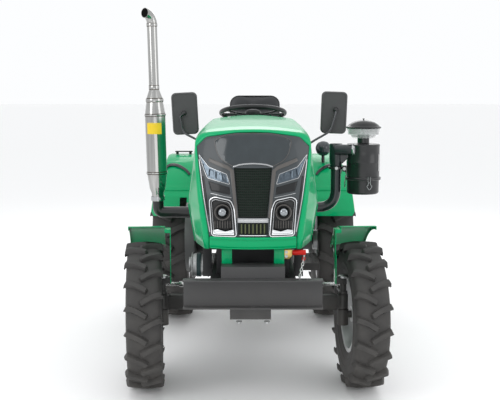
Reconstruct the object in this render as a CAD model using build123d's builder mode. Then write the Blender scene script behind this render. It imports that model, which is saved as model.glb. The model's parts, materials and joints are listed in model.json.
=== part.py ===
"""Compact farm tractor with a single-cylinder engine, belt drive and rear three-point hitch.

Units are millimetres.  The tractor faces -Y, +X is its own left side and +Z is up.  The origin is
on the ground, midway along the tractor.  Lengths given as "past the front axle" grow rearwards.
"""
import os
from math import atan2, cos, degrees, pi, radians, sin, sqrt

from build123d import *

os.makedirs("parts", exist_ok=True)

# ---------------------------------------------------------------- driving dimensions
wheelbase = 1450.0
front_axle_y = -795.0                      # the front axle's place along the tractor
rear_axle_y = front_axle_y + wheelbase

front_tyre_r = 350.0                       # to the lug tips
front_tyre_w = 162.0
front_bead_r = 168.0
rear_tyre_r = 472.0
rear_tyre_w = 210.0
rear_bead_r = 262.0
front_half_track = 515.0                   # centreline to the middle of a front tyre
rear_half_track = 487.0
kingpin_x = front_half_track - 85
rest_steer = 5.0                           # the front wheels rest turned to the tractor's left

fit_gap = 0.3                              # between curved faces that seat on each other
shaft_gap = 0.08                           # radial play of a shaft in its bore
run_gap = 6.0                              # between panels and pieces that pass each other

rail_x = 190.0                             # outer face of a frame rail
rail_w = 40.0
rail_z = 490.0
rail_h = 100.0
rail_wall = 6.0
rail_front_y = front_axle_y - 425
rail_rear_y = front_axle_y + 640

bumper_half = 300.0
bumper_h = 125.0
bumper_z = 488.0
bumper_depth = 55.0
bumper_wall = 6.0

hood_wall = 4.0
hood_front_y = front_axle_y - 430          # the loft starts ahead of the nose and is cut back
hood_split_y = front_axle_y - 145          # behind this the lower side panels are fixed
hood_rear_y = front_axle_y + 697
hood_split_z = 905.0
hinge_y = hood_rear_y + run_gap / 2        # the hood swings on a pin over the gap behind it
hinge_z = 1281.0
hinge_r = 7.0
hinge_pin_r = 4.0
hinge_x = 120.0
nose_arc = [(-388.0, 650.0), (-401.0, 880.0), (-296.0, 1300.0)]   # (past the axle, height)
nose_plan_r = 520.0
mask_wall = 9.0

stack_y = front_axle_y + 300
stack_x = -478.0                           # the exhaust's foot; it leans outwards as it rises
stack_foot_z = 861.0
stack_lean = 1.3
filter_x = 542.0
filter_y = front_axle_y + 220
filter_r = 81.0
duct_x = 408.0
duct_r = 28.5

crank_y = front_axle_y + 530
crank_z = 640.0
flywheel_r = 180.0
clutch_y = front_axle_y + 730
clutch_z = 600.0

hitch_y = rear_axle_y + 80              # the pivots of the lift arms and the lower links
lift_pivot_z = 770.0
link_pivot_z = 400.0
lift_arm_l = 240.0
lower_link_l = 522.0
hitch_slope = 5.0
link_pin_r = 14.0
eye_bore_r = 11.0
rod_pin_r = 9.0

side_names = ((1, "left"), (-1, "right"))


# ---------------------------------------------------------------- shapes that many pieces use
def block(x, y, z, mode=Mode.ADD):
    """A box from its (low, high) values along each axis."""
    centre = ((x[0] + x[1]) / 2, (y[0] + y[1]) / 2, (z[0] + z[1]) / 2)
    with Locations(centre):
        Box(x[1] - x[0], y[1] - y[0], z[1] - z[0], mode=mode)


def bar(start, end, radius, mode=Mode.ADD):
    """A round bar from one point to another."""
    run = Vector(*end) - Vector(*start)
    with Locations(Plane(origin=start, z_dir=run)):
        Cylinder(radius, run.length, align=(Align.CENTER, Align.CENTER, Align.MIN), mode=mode)


def pipe(points, radius, bend):
    """A round pipe along straight runs joined by arcs."""
    with BuildLine() as route:
        FilletPolyline(*points, radius=bend)
    with BuildSketch(Plane(origin=route.line @ 0, z_dir=route.line % 0)) as section:
        Circle(radius)
    sweep(section.sketch, path=route.line)


def turned(profile, axis_plane, mode=Mode.ADD):
    """A turned solid: profile points are (along the axis, radius); the axis is the plane's x."""
    with BuildSketch(axis_plane) as section:
        with BuildLine():
            Polyline(*profile, close=True)
        make_face()
    revolve(section.sketch, axis=Axis(axis_plane.origin, axis_plane.x_dir), mode=mode)


def finish(piece, name):
    piece.part.label = name
    export_step(piece.part, f"parts/{name}.step")


# ---------------------------------------------------------------- frame rails
with BuildPart() as frame_rails:
    for side in (1, -1):
        outer = side * rail_x
        inner = side * (rail_x - rail_w)
        web = side * (rail_x - rail_wall)
        block(sorted((outer, inner)), (rail_front_y, rail_rear_y), (rail_z, rail_z + rail_h))
        block(
            sorted((web, inner)),
            (rail_front_y, rail_rear_y),
            (rail_z + rail_wall, rail_z + rail_h - rail_wall),
            mode=Mode.SUBTRACT,
        )
    for cross_y in (front_axle_y - 260, front_axle_y):
        block(
            (wall := rail_wall - rail_x, -wall),
            (cross_y - 40, cross_y + 40),
            (rail_z + rail_wall, rail_z + rail_h - rail_wall),
        )
    block((-60, 60), (front_axle_y - 40, front_axle_y + 40), (448, rail_z + rail_wall))
finish(frame_rails, "frame_rails")

# ---------------------------------------------------------------- front bumper
bumper_back_y = rail_front_y
bumper_front_y = bumper_back_y - bumper_depth
bumper_top_z = bumper_z + bumper_h
with BuildPart() as front_bumper:
    block((-bumper_half, bumper_half), (bumper_front_y, bumper_back_y), (bumper_z, bumper_top_z))
    block(
        (-bumper_half, bumper_half),
        (bumper_front_y, bumper_back_y - bumper_wall),
        (bumper_z + bumper_wall, bumper_top_z - bumper_wall),
        mode=Mode.SUBTRACT,
    )
    with BuildSketch(Plane.XY.offset(bumper_z - 1)):
        with Locations(*[(x, bumper_front_y + 22) for x in (-220, 0, 220)]):
            SlotOverall(26, 12)
    extrude(amount=bumper_h + 2, mode=Mode.SUBTRACT)
    block((-138, 138), (bumper_back_y, bumper_back_y + 100), (bumper_top_z - 10, bumper_top_z + 49))
    block((-100, 78), (bumper_back_y, bumper_back_y + 12), (431, bumper_z + 12))
finish(front_bumper, "front_bumper")

box_top_z = bumper_top_z + 49
with BuildPart() as hood_posts:
    for side in (1, -1):
        block(
            sorted((side * 92, side * 145 - side * 8)),
            (front_axle_y - 350, front_axle_y - 332),
            (box_top_z, 727),
        )
finish(hood_posts, "hood_posts")

# ---------------------------------------------------------------- front axle
axle_z = (378.0, 448.0)
sleeve_r = 24.0
kingpin_r = 15.0
with BuildPart() as front_axle:
    block((-kingpin_x, kingpin_x), (front_axle_y - 35, front_axle_y + 35), axle_z)
    chamfer(front_axle.edges().filter_by(Axis.X), 8)
    for side in (1, -1):
        foot = (side * kingpin_x, front_axle_y, axle_z[0])
        head = (side * kingpin_x, front_axle_y, axle_z[1])
        block(
            sorted((side * (kingpin_x - 30), side * (kingpin_x + 40))),
            (front_axle_y - 60, front_axle_y + 60),
            axle_z,
            mode=Mode.SUBTRACT,
        )
        bar(foot, head, sleeve_r)
        block(
            sorted((side * (kingpin_x - 32), side * (kingpin_x - 16))),
            (front_axle_y - 16, front_axle_y + 16),
            (axle_z[0] + 4, axle_z[1] - 4),
        )
        bar(foot, head, kingpin_r + shaft_gap, mode=Mode.SUBTRACT)
finish(front_axle, "front_axle")

# ---------------------------------------------------------------- engine and cooling
with BuildPart() as radiator:
    block((-165, 165), (front_axle_y - 215, front_axle_y - 150), (rail_z + rail_h, 1060))
    block((-140, 140), (front_axle_y - 225, front_axle_y - 215), (640, 1010))
finish(radiator, "radiator")

engine_front_y = front_axle_y + 20
with BuildPart() as engine_block:
    block((-185, 185), (front_axle_y + 330, front_axle_y + 610), (rail_z + rail_h, 860))
    block((-140, 140), (front_axle_y + 300, front_axle_y + 610), (470, rail_z + rail_h))
    block((-110, 110), (front_axle_y + 60, front_axle_y + 330), (600, 800))
    block((-92, 92), (engine_front_y, front_axle_y + 60), (rail_z + rail_h, 812))
    block((-150, 150), (front_axle_y + 140, front_axle_y + 440), (800, 980))
finish(engine_block, "engine_block")

belt_x = (-295.0, -255.0)
flywheel_x = (-350.0, -300.0)
drive_pulley_r = 80.0
clutch_pulley_r = 88.0
with BuildPart() as belt_pulleys:
    crank_plane = Plane(origin=(0, crank_y, crank_z), x_dir=(1, 0, 0), z_dir=(0, -1, 0))
    turned(
        [
            (flywheel_x[0], 0),
            (flywheel_x[0], 60),
            (flywheel_x[0] + 18, 75),
            (flywheel_x[0] + 18, flywheel_r - 32),
            (flywheel_x[0], flywheel_r - 22),
            (flywheel_x[0], flywheel_r),
            (flywheel_x[1], flywheel_r),
            (flywheel_x[1], drive_pulley_r),
            (belt_x[0], drive_pulley_r - 14),
            (belt_x[1], drive_pulley_r - 14),
            (belt_x[1] + 5, drive_pulley_r),
            (belt_x[1] + 9, drive_pulley_r),
            (belt_x[1] + 9, 30),
            (-185, 30),
            (-185, 0),
        ],
        crank_plane,
    )
    clutch_plane = Plane(origin=(0, clutch_y, clutch_z), x_dir=(1, 0, 0), z_dir=(0, -1, 0))
    turned(
        [
            (belt_x[0] - 9, 0),
            (belt_x[0] - 9, clutch_pulley_r),
            (belt_x[0] - 5, clutch_pulley_r),
            (belt_x[0], clutch_pulley_r - 14),
            (belt_x[1], clutch_pulley_r - 14),
            (belt_x[1] + 5, clutch_pulley_r),
            (belt_x[1] + 9, clutch_pulley_r),
            (belt_x[1] + 9, 30),
            (-130, 30),
            (-130, 0),
        ],
        clutch_plane,
    )
finish(belt_pulleys, "belt_pulleys")

# The belts run round both pulleys: a closed loop between two circles and their common tangents.
with BuildPart() as drive_belts:
    span = sqrt((clutch_y - crank_y) ** 2 + (clutch_z - crank_z) ** 2)
    slope = atan2(clutch_z - crank_z, clutch_y - crank_y)
    for step, belt_mode in ((0.0, Mode.ADD), (-13.0, Mode.SUBTRACT)):
        r_a = drive_pulley_r + step
        r_b = clutch_pulley_r + step
        lean = (r_b - r_a) / span
        with BuildSketch(Plane.YZ.offset(belt_x[0] + 1)):
            ring = []
            for turn in (1, -1):
                angle = slope + turn * (pi / 2 + lean)
                for (y, z, r) in ((crank_y, crank_z, r_a), (clutch_y, clutch_z, r_b)):
                    ring.append((y + r * cos(angle), z + r * sin(angle)))
            with BuildLine():
                Line(ring[0], ring[1])
                end = (clutch_y + r_b * cos(slope), clutch_z + r_b * sin(slope))
                ThreePointArc(ring[1], end, ring[3])
                Line(ring[3], ring[2])
                end = (crank_y - r_a * cos(slope), crank_z - r_a * sin(slope))
                ThreePointArc(ring[2], end, ring[0])
            make_face()
        extrude(amount=belt_x[1] - belt_x[0] - 2, mode=belt_mode)
finish(drive_belts, "drive_belts")

with BuildPart() as alternator:
    body_plane = Plane(origin=(0, front_axle_y + 20, 587), x_dir=(1, 0, 0), z_dir=(0, -1, 0))
    turned(
        [
            (-304, 0),
            (-304, 36),
            (-296, 36),
            (-290, 52),
            (-262, 56),
            (-262, 52),
            (-228, 52),
            (-228, 56),
            (-206, 52),
            (-200, 36),
            (-200, 0),
        ],
        body_plane,
    )
    block((-204, -rail_x), (front_axle_y + 5, front_axle_y + 35), (560, 585))
finish(alternator, "alternator")

# ---------------------------------------------------------------- transmission
trumpet_z = rear_tyre_r
stub_r = 30.0
stub_end = rear_half_track + 12
with BuildPart() as transmission:
    block((-130, 130), (rail_rear_y, rear_axle_y - 140), (380, 640))
    block((-rail_x, rail_x), (rail_rear_y, rail_rear_y + 24), (rail_z, rail_z + rail_h))
    block((-150, 150), (rear_axle_y - 140, rear_axle_y + 120), (330, 680))
    block((-118, 118), (rear_axle_y - 200, rear_axle_y + 110), (640, 820))
    chamfer(transmission.edges().filter_by(Axis.Y).group_by(Axis.Z)[-1], 20)
    hub_plane = Plane(origin=(0, rear_axle_y, trumpet_z), x_dir=(1, 0, 0), z_dir=(0, -1, 0))
    for side in (1, -1):
        turned(
            [
                (side * 140, 0),
                (side * 140, 95),
                (side * 165, 95),
                (side * 190, 62),
                (side * 350, 62),
                (side * 350, 84),
                (side * 368, 84),
                (side * 368, stub_r),
                (side * stub_end, stub_r),
                (side * stub_end, 0),
            ],
            hub_plane,
        )
        bar((side * 110, hitch_y, lift_pivot_z), (side * 162, hitch_y, lift_pivot_z), 18)
        bar((side * 140, hitch_y, link_pivot_z), (side * 212, hitch_y, link_pivot_z), link_pin_r)
    bar((0, rear_axle_y + 115, 560), (0, rear_axle_y + 190, 560), 17.4)
    block((-22, 22), (rear_axle_y + 110, rear_axle_y + 150), (690, 760))
    bar((-30, rear_axle_y + 132, 725), (30, rear_axle_y + 132, 725), 9.8, mode=Mode.SUBTRACT)
finish(transmission, "transmission")

with BuildPart() as drawbar:
    block((-32, 32), (rear_axle_y + 90, rear_axle_y + 450), (308, 329.7))
    block((-60, 60), (rear_axle_y + 50, rear_axle_y + 116), (308, 330))
    bar((0, rear_axle_y + 420, 300), (0, rear_axle_y + 420, 340), eye_bore_r, mode=Mode.SUBTRACT)
finish(drawbar, "drawbar")

# ---------------------------------------------------------------- hood
# A body section: half widths at the bottom edge, the belt line and the shoulder, then the roof.
hood_columns = ("y", "bottom", "belt", "shoulder", "corner", "corner_z", "crest_z")
hood_table = [
    (hood_front_y, 190, 204, 249, 205, 1214, 1238),
    (front_axle_y - 150, 268, 300, 262, 218, 1243, 1262),
    (front_axle_y + 300, 264, 294, 262, 216, 1254, 1275),
    (hood_rear_y, 258, 280, 258, 212, 1256, 1277),
]
hood_bottom_z = 730.0
belt_z = 912.0
shoulder_z = 1178.0


def hood_section(row, inset, bottom_z):
    """A closed body section on the row's plane, drawn in by the panel's thickness."""
    s = dict(zip(hood_columns, row))
    taper = (s["belt"] - s["bottom"]) / (belt_z - hood_bottom_z)
    low = s["bottom"] + taper * (bottom_z - hood_bottom_z) - inset
    belt = s["belt"] - inset
    shoulder = s["shoulder"] - inset
    corner = s["corner"] - inset
    corner_z = s["corner_z"] - inset
    crest_z = s["crest_z"] - inset
    bulge = ((shoulder + corner) / 2 + 9, (shoulder_z + corner_z) / 2 + 9)
    with BuildSketch(Plane(origin=(0, s["y"], 0), x_dir=(1, 0, 0), z_dir=(0, -1, 0))) as section:
        with BuildLine():
            Polyline((-shoulder, shoulder_z), (-belt, belt_z), (-low, bottom_z), (low, bottom_z))
            Polyline((low, bottom_z), (belt, belt_z), (shoulder, shoulder_z))
            ThreePointArc((shoulder, shoulder_z), bulge, (corner, corner_z))
            ThreePointArc((corner, corner_z), (0, crest_z), (-corner, corner_z))
            ThreePointArc((-corner, corner_z), (-bulge[0], bulge[1]), (-shoulder, shoulder_z))
        make_face()
    return section.sketch


def hood_body(inset, bottom_z, rows):
    """The body's solid form through its sections, drawn in by a panel's thickness."""
    with BuildPart() as body:
        loft([hood_section(row, inset, bottom_z) for row in rows], ruled=True)
    return body.part


def nose_slab(front_shift, back_shift=None):
    """A slab turned about an upright axis, so that it bows in plan and leans back in side view.

    With no back it is solid as far as the axis.
    """
    turn_y = front_axle_y + nose_arc[1][0] + nose_plan_r
    face = [(front_axle_y + y + front_shift, z) for y, z in nose_arc]
    with BuildPart() as slab:
        with BuildSketch(Plane.YZ):
            with BuildLine():
                ThreePointArc(*face)
                if back_shift is None:
                    Polyline(face[2], (turn_y, face[2][1]), (turn_y, face[0][1]), face[0])
                else:
                    back = [(front_axle_y + y + back_shift, z) for y, z in nose_arc]
                    Line(face[2], back[2])
                    ThreePointArc(back[2], back[1], back[0])
                    Line(back[0], face[0])
            make_face()
        revolve(axis=Axis((0, turn_y, 0), (0, 0, 1)))
    return slab.part


def front_prism(points):
    """What lies behind an outline seen from the front; points are (x, z)."""
    plane = Plane(origin=(0, front_axle_y - 250, 0), x_dir=(1, 0, 0), z_dir=(0, -1, 0))
    with BuildPart() as prism:
        with BuildSketch(plane):
            with BuildLine():
                Polyline(*points, close=True)
            make_face()
        extrude(amount=250)
    return prism.part


def nose_piece(front_shift, back_shift, *outlines):
    """The parts of a nose slab inside one or more outlines."""
    with BuildPart() as prisms:
        add([front_prism(outline) for outline in outlines])
    with BuildPart() as piece:
        add(nose_slab(front_shift, back_shift))
        add(prisms.part, mode=Mode.INTERSECT)
    return piece.part


def both_sides(half):
    """A closed outline from its right half, listed from the bottom up."""
    return half + [(-x, z) for x, z in reversed(half)]


chin_top_z = 788.0
mask_half = [(190, chin_top_z), (226, 1010), (246, 1172), (205, 1213), (70, 1233)]
with BuildPart() as nose_cutter:
    block((-400, 400), (front_axle_y - 600, front_axle_y - 180), (600, 1400))
    add(nose_slab(mask_wall), mode=Mode.SUBTRACT)
with BuildPart() as chin:
    add(nose_piece(-2, 14, both_sides([(240, 734), (240, chin_top_z)])))
    add(hood_body(0, hood_bottom_z, hood_table), mode=Mode.INTERSECT)
cheek_back = 14.0                          # the nose's return behind its face
mask_gap = 1.0                             # round the mask, in the hood's front opening
mask_opening = [(x + mask_gap, z) for x, z in mask_half[:3]] + [(206, 1214), (70, 1234)]
mask_opening[0] = (mask_half[0][0] + mask_gap, chin_top_z - 1)
with BuildPart() as cheeks:
    add(nose_piece(2, cheek_back, both_sides([(330, chin_top_z - 1), (330, 1290)])))
    add(front_prism(both_sides(mask_opening)), mode=Mode.SUBTRACT)
    add(hood_body(0, hood_bottom_z, hood_table), mode=Mode.INTERSECT)
with BuildPart() as hood_shell:
    add(hood_body(0, hood_bottom_z, hood_table))
    add(hood_body(hood_wall, hood_bottom_z - 20, hood_table), mode=Mode.SUBTRACT)
    # cut the front back to the nose's bowed face, just behind the mask
    add(nose_cutter.part, mode=Mode.SUBTRACT)
    # the lower sides behind the nose are separate fixed panels
    block((-400, 400), (hood_split_y, hood_rear_y + 5), (600, hood_split_z), mode=Mode.SUBTRACT)
    # the chin under the mask, and the cheeks that close in on the mask all round
    add(chin.part)
    add(cheeks.part)
    for side in (1, -1):
        ends = [(side * (hinge_x + end * 18), hinge_y, hinge_z) for end in (-1, 1)]
        block(sorted((ends[0][0], ends[1][0])), (hinge_y - 28, hinge_y), (1264, hinge_z - 2))
        bar(*ends, hinge_r)
        bar(*ends, hinge_pin_r + shaft_gap, mode=Mode.SUBTRACT)
finish(hood_shell, "hood_shell")

visor_outline = both_sides(
    [(56, 1097), (84, 1088), (130, 1113), (154, 1142), (170, 1200), (112, 1226)]
)
pod_outline = [(70, 790), (179, 790), (191, 948), (168, 961), (95, 948), (80, 914)]
pod_pocket = [(84, 802), (170, 802), (180, 940), (164, 949), (102, 938), (91, 908)]
brow_outline = [(100, 1014), (198, 1039), (213, 1072), (238, 1140), (193, 1086), (114, 1058)]
brow_corners = ((100, 1014), (198, 1039), (193, 1086), (114, 1058))
patch_outline = [(96, 968), (182, 982), (194, 1026), (101, 1003)]
grille_outline = both_sides([(62, 872), (82, 1084)])
vent_outline = both_sides([(64, 798), (64, 856)])


def mirrored(points):
    return [(-x, z) for x, z in points]


def in_both(points):
    """An outline and its mirror image."""
    return points, mirrored(points)


visor_step = 3.0
patch_depth = 3.0
with BuildPart() as mask:
    add(nose_piece(0, mask_wall - fit_gap, both_sides(mask_half)))
    holes = (*in_both(pod_outline), *in_both(brow_outline), grille_outline, vent_outline)
    for hole in holes:
        add(front_prism(hole), mode=Mode.SUBTRACT)
    add(nose_piece(-mask_wall, patch_depth, *in_both(patch_outline)), mode=Mode.SUBTRACT)
finish(mask, "mask")

with BuildPart() as visor:
    add(nose_piece(-visor_step, 0, visor_outline))
finish(visor, "visor")

slat_pitch = 11.0
slat_h = 3.5
vent_bars = 10
vent_bar_w = 5.0
with BuildPart() as grille:
    add(nose_piece(mask_wall, mask_wall + 6, both_sides([(66, 794), (66, 864), (90, 1090)])))
    slats = []
    slat_z = 876.0
    while slat_z < 1080:
        half_w = 61 + (slat_z - 872) * 20 / 212
        slats.append(both_sides([(half_w, slat_z), (half_w, slat_z + slat_h)]))
        slat_z += slat_pitch
    pitch = 2 * 58 / (vent_bars - 1)
    bars = [[(x - vent_bar_w / 2, 798.5), (x + vent_bar_w / 2, 798.5),
             (x + vent_bar_w / 2, 855.5), (x - vent_bar_w / 2, 855.5)]
            for x in (-58 + pitch * i for i in range(vent_bars))]
    add(nose_piece(3, mask_wall, *slats, *bars))
finish(grille, "grille")

pod_depth = 60.0
pod_proud = 3.0
with BuildPart() as headlamps:
    add(nose_piece(-pod_proud, pod_depth, *in_both(pod_outline)))
    add(nose_piece(-mask_wall, pod_depth + mask_wall, *in_both(pod_pocket)), mode=Mode.SUBTRACT)
finish(headlamps, "headlamps")

projector_at = (132.0, 893.0)
projector_r = 34.0
projector_l = 34.0
rib_count = 7
rib_pitch = 11.0
pod_face_y = front_axle_y - 384            # the nose's face at the middle of a lamp
core_y = pod_face_y + 40
core_plate = 12.0
with BuildPart() as lamp_cores:
    add([front_prism(outline) for outline in in_both(pod_pocket)])
    plate_y = (core_y - core_plate / 2, core_y + core_plate / 2)
    block((-250, 250), plate_y, (780, 980), mode=Mode.INTERSECT)
    for side in (1, -1):
        centre_x = side * projector_at[0]
        lamp_axis = Plane(
            origin=(centre_x, core_y, projector_at[1]), x_dir=(0, -1, 0), z_dir=(1, 0, 0)
        )
        turned(
            [
                (0, 0),
                (0, projector_r),
                (projector_l, projector_r),
                (projector_l, projector_r - 4),
                (projector_l - 10, projector_r - 5),
                (projector_l - 10, 25),
                (projector_l - 5, 20),
                (projector_l, 10),
                (projector_l + 1, 0),
            ],
            lamp_axis,
        )
        for i in range(rib_count):
            rib_x = side * (projector_at[0] - 34 + rib_pitch * i)
            block((rib_x - 2, rib_x + 2), (core_y - 22, core_y), (824, 852))
        with BuildSketch(Plane.YZ.offset(side * 127 - 40)) as reflector:
            with BuildLine():
                Polyline(
                    (core_y, 804), (core_y - 34, 804), (core_y - 30, 808), (core_y, 821), close=True
                )
            make_face()
        extrude(reflector.sketch, amount=80)
finish(lamp_cores, "lamp_cores")

brow_cells = 3
cell_edge = 0.05                           # share of a cell left as wall, each side
with BuildPart() as brow_lamps:
    add(nose_piece(2, mask_wall + 8, *in_both(brow_outline)))
    cells = []
    low_in, low_out, top_out, top_in = (Vector(*corner) for corner in brow_corners)
    for i in range(brow_cells):
        near = (i + cell_edge) / brow_cells + 0.02
        far = (i + 1 - cell_edge) / brow_cells - 0.02
        corners = []
        for along, up in ((near, 0.18), (far, 0.18), (far, 0.84), (near, 0.84)):
            low = low_in + (low_out - low_in) * along
            top = top_in + (top_out - top_in) * along
            corner = low + (top - low) * up
            corners.append((corner.X, corner.Y))
        cells += in_both(corners)
    add(nose_piece(-mask_wall, mask_wall, *cells), mode=Mode.SUBTRACT)
finish(brow_lamps, "brow_lamps")

strut_x = 270.0                            # the struts' outer ends, inside the panels' lower edges
panel_rows = [
    (hood_split_y + run_gap,) + tuple(hood_table[1][1:]),
    hood_table[2],
    hood_table[3],
]
with BuildPart() as side_panels:
    add(hood_body(0, hood_bottom_z, panel_rows))
    add(hood_body(hood_wall, hood_bottom_z - 20, panel_rows), mode=Mode.SUBTRACT)
    block((-400, 400), (-1200, 100), (hood_split_z - run_gap, 1400), mode=Mode.SUBTRACT)
    for side in (1, -1):
        for strut_y in (front_axle_y - 120, front_axle_y + 590):
            for reach, low_z in ((232, rail_z + rail_h - 30), (strut_x, hood_bottom_z - 3)):
                block(
                    sorted((side * rail_x, side * reach)),
                    (strut_y - 5, strut_y + 5),
                    (low_z, hood_bottom_z + 15),
                )
    bar((200, filter_y, 838), (420, filter_y, 838), duct_r + 5, mode=Mode.SUBTRACT)
    bar((-200, stack_y, 802), (-420, stack_y, 802), 35, mode=Mode.SUBTRACT)
finish(side_panels, "side_panels")

# ---------------------------------------------------------------- dash cowl, column and wheel
cowl_front_y = hood_rear_y + run_gap
cowl_rear_y = front_axle_y + 880
cowl_rows = [
    (cowl_front_y, 258, 280, 258, 212, 1256, 1277),
    (cowl_rear_y, 210, 236, 226, 186, 1236, 1262),
]
column_tilt = 13.0
wheel_centre = (0.0, front_axle_y + 985, 1279.0)
column_dir = (0.0, sin(radians(column_tilt)), cos(radians(column_tilt)))


def along_column(distance):
    """A point on the steering column's axis, measured down from the wheel's centre."""
    return tuple(c - distance * d for c, d in zip(wheel_centre, column_dir))


with BuildPart() as dash_cowl:
    add(hood_body(0, hood_bottom_z + 60, cowl_rows))
    inner_rows = [
        (cowl_front_y + 5,) + cowl_rows[0][1:],
        (cowl_rear_y - 5,) + cowl_rows[1][1:],
    ]
    add(hood_body(hood_wall, hood_bottom_z, inner_rows), mode=Mode.SUBTRACT)
    block((-240, 240), (cowl_front_y, cowl_front_y + 5), (640, 800))
    bar(along_column(660), along_column(0), 22 + fit_gap, mode=Mode.SUBTRACT)
    for side in (1, -1):
        ears = [side * (hinge_x + end) for end in (-34, -20, 20, 34)]
        for near, far in (ears[:2], ears[2:]):
            block(sorted((near, far)), (hinge_y, hinge_y + 28), (1264, hinge_z - 2))
            bar((near, hinge_y, hinge_z), (far, hinge_y, hinge_z), hinge_r)
        bar((ears[0], hinge_y, hinge_z), (ears[3], hinge_y, hinge_z), hinge_pin_r)
finish(dash_cowl, "dash_cowl")

with BuildPart() as steering_column:
    bar(along_column(640), along_column(34), 22)
    bar(along_column(36), along_column(8), 10)
    block((-45, 45), (front_axle_y + 750, front_axle_y + 860), (640, 690))
finish(steering_column, "steering_column")

with BuildPart() as steering_wheel:
    wheel_plane = Plane(origin=wheel_centre, x_dir=(1, 0, 0), z_dir=column_dir)
    with Locations(wheel_plane):
        Torus(180, 13)
        with Locations((0, 0, -6)):
            Cylinder(46, 40)
        for angle in (90, 210, 330):
            with Locations(Location((0, 0, 0), (0, 0, angle))):
                with Locations((105, 0, 0)):
                    Box(140, 26, 9)
        with Locations((0, 0, -26)):
            Cylinder(
                10 + shaft_gap, 30, align=(Align.CENTER, Align.CENTER, Align.MIN), mode=Mode.SUBTRACT
            )
finish(steering_wheel, "steering_wheel")

# ---------------------------------------------------------------- exhaust and air intake
stack_axis = Vector(-sin(radians(stack_lean)), 0, cos(radians(stack_lean)))
stack_foot = Vector(stack_x, stack_y, stack_foot_z)
stack_plane = Plane(origin=stack_foot, x_dir=stack_axis, z_dir=(0, -1, 0))
tailpipe_r = 23.5
with BuildPart() as exhaust_stack:
    turned(
        [
            (0, 0),
            (0, 30.5),
            (38, 30.5),
            (64, 40),
            (72, 40),
            (136, 50),
            (136, 53),
            (146, 53),
            (146, 50),
            (424, 50),
            (424, 53),
            (434, 53),
            (500, 40),
            (506, 40),
            (560, tailpipe_r),
            (850, tailpipe_r),
            (850, 0),
        ],
        stack_plane,
    )
    tip_bend = stack_foot + stack_axis * 884
    tip_dir = Vector(-40, -30, 50).normalized()
    tip = tip_bend + tip_dir * 59
    pipe([tuple(stack_foot + stack_axis * 850), tuple(tip_bend), tuple(tip)], tailpipe_r, 40)
    bar(tuple(tip - tip_dir * 30), tuple(tip + tip_dir), tailpipe_r - 2, mode=Mode.SUBTRACT)
finish(exhaust_stack, "exhaust_stack")

elbow_r = 28.0
with BuildPart() as exhaust_elbow:
    pipe(
        [
            tuple(stack_foot - stack_axis * fit_gap),
            tuple(stack_foot - stack_axis * 59),
            (-150, stack_y, (stack_foot - stack_axis * 59).Z),
        ],
        elbow_r,
        56,
    )
finish(exhaust_elbow, "exhaust_elbow")

with BuildPart() as air_filter:
    filter_plane = Plane(origin=(filter_x, filter_y, 907), x_dir=(0, 0, 1), z_dir=(0, -1, 0))
    turned(
        [
            (0, 0),
            (0, filter_r - 6),
            (8, filter_r),
            (70, filter_r),
            (72, filter_r + 4),
            (82, filter_r + 4),
            (84, filter_r),
            (236, filter_r),
            (246, filter_r - 10),
            (246, 30),
            (274, 30),
            (274, 0),
        ],
        filter_plane,
    )
    block(
        (duct_x + 38, filter_x), (filter_y - 26, filter_y + 26), (1098, 1150)
    )
finish(air_filter, "air_filter")

with BuildPart() as precleaner:
    bowl_plane = Plane(origin=(filter_x, filter_y, 1181), x_dir=(0, 0, 1), z_dir=(0, -1, 0))
    turned(
        [
            (0, 0),
            (0, 52),
            (8, 62),
            (48, 84),
            (56, 84),
            (58, 66),
            (70, 60),
            (90, 34),
            (94, 0),
        ],
        bowl_plane,
    )
finish(precleaner, "precleaner")

with BuildPart() as air_duct:
    pipe(
        [
            (duct_x, filter_y, 1100),
            (duct_x, filter_y, 838),
            (150, filter_y, 838),
        ],
        duct_r,
        85,
    )
    block((duct_x - 34, duct_x + 38), (filter_y - 32, filter_y + 32), (1060, 1152))
finish(air_duct, "air_duct")

# ---------------------------------------------------------------- floor, pedals, levers
floor_z = 440.0
floor_front_y = front_axle_y + 800
floor_rear_y = rear_axle_y - 330
floor_x = (130.0, 375.0)                   # a footplate's inner and outer edges
floor_plate = 6.0
bearer_h = 40.0
with BuildPart() as floor_plates:
    for side in (1, -1):
        plate_x = sorted((side * floor_x[0], side * floor_x[1]))
        block(plate_x, (floor_front_y, floor_rear_y), (floor_z, floor_z + floor_plate))
        for bearer_y in (floor_front_y + 20, floor_rear_y - 60):
            block(plate_x, (bearer_y, bearer_y + 30), (floor_z - bearer_h, floor_z))
finish(floor_plates, "floor_plates")

with BuildPart() as controls:
    for side in (1, -1):
        block(sorted((side * 130, side * 150)), (floor_front_y + 60, floor_front_y + 90), (480, 640))
        block(sorted((side * 130, side * 215)), (floor_front_y + 50, floor_front_y + 64), (560, 610))
    block((40, 80), (rear_axle_y - 350, rear_axle_y - 310), (640, 654))
    bar((60, rear_axle_y - 330, 650), (84, rear_axle_y - 360, 860), 8)
    with Locations((86, front_axle_y + 1088, 872)):
        Sphere(20)
finish(controls, "controls")

# ---------------------------------------------------------------- seat
seat_y = (rear_axle_y - 340, rear_axle_y + 50)
seat_z = 868.0
seat_tray = 24.0
cushion_half = 205.0
cushion_h = 70.0
back_x = (-148.0, 170.0)                   # the seat back stands a little to the tractor's left
back_z = (970.0, 1376.0)
back_depth = 48.0
with BuildPart() as seat_base:
    block((-110, 110), (rear_axle_y - 190, rear_axle_y + 30), (820, seat_z))
    block((-cushion_half + 15, cushion_half - 15), seat_y, (seat_z, seat_z + seat_tray))
    stay_x = (back_x[0] + 40, back_x[1] - 40)
    block(stay_x, (seat_y[1], seat_y[1] + 18), (seat_z, back_z[1] - 136))
    block(stay_x, (seat_y[1] - 10, seat_y[1] + 18), (seat_z, seat_z + seat_tray))
finish(seat_base, "seat_base")

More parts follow.
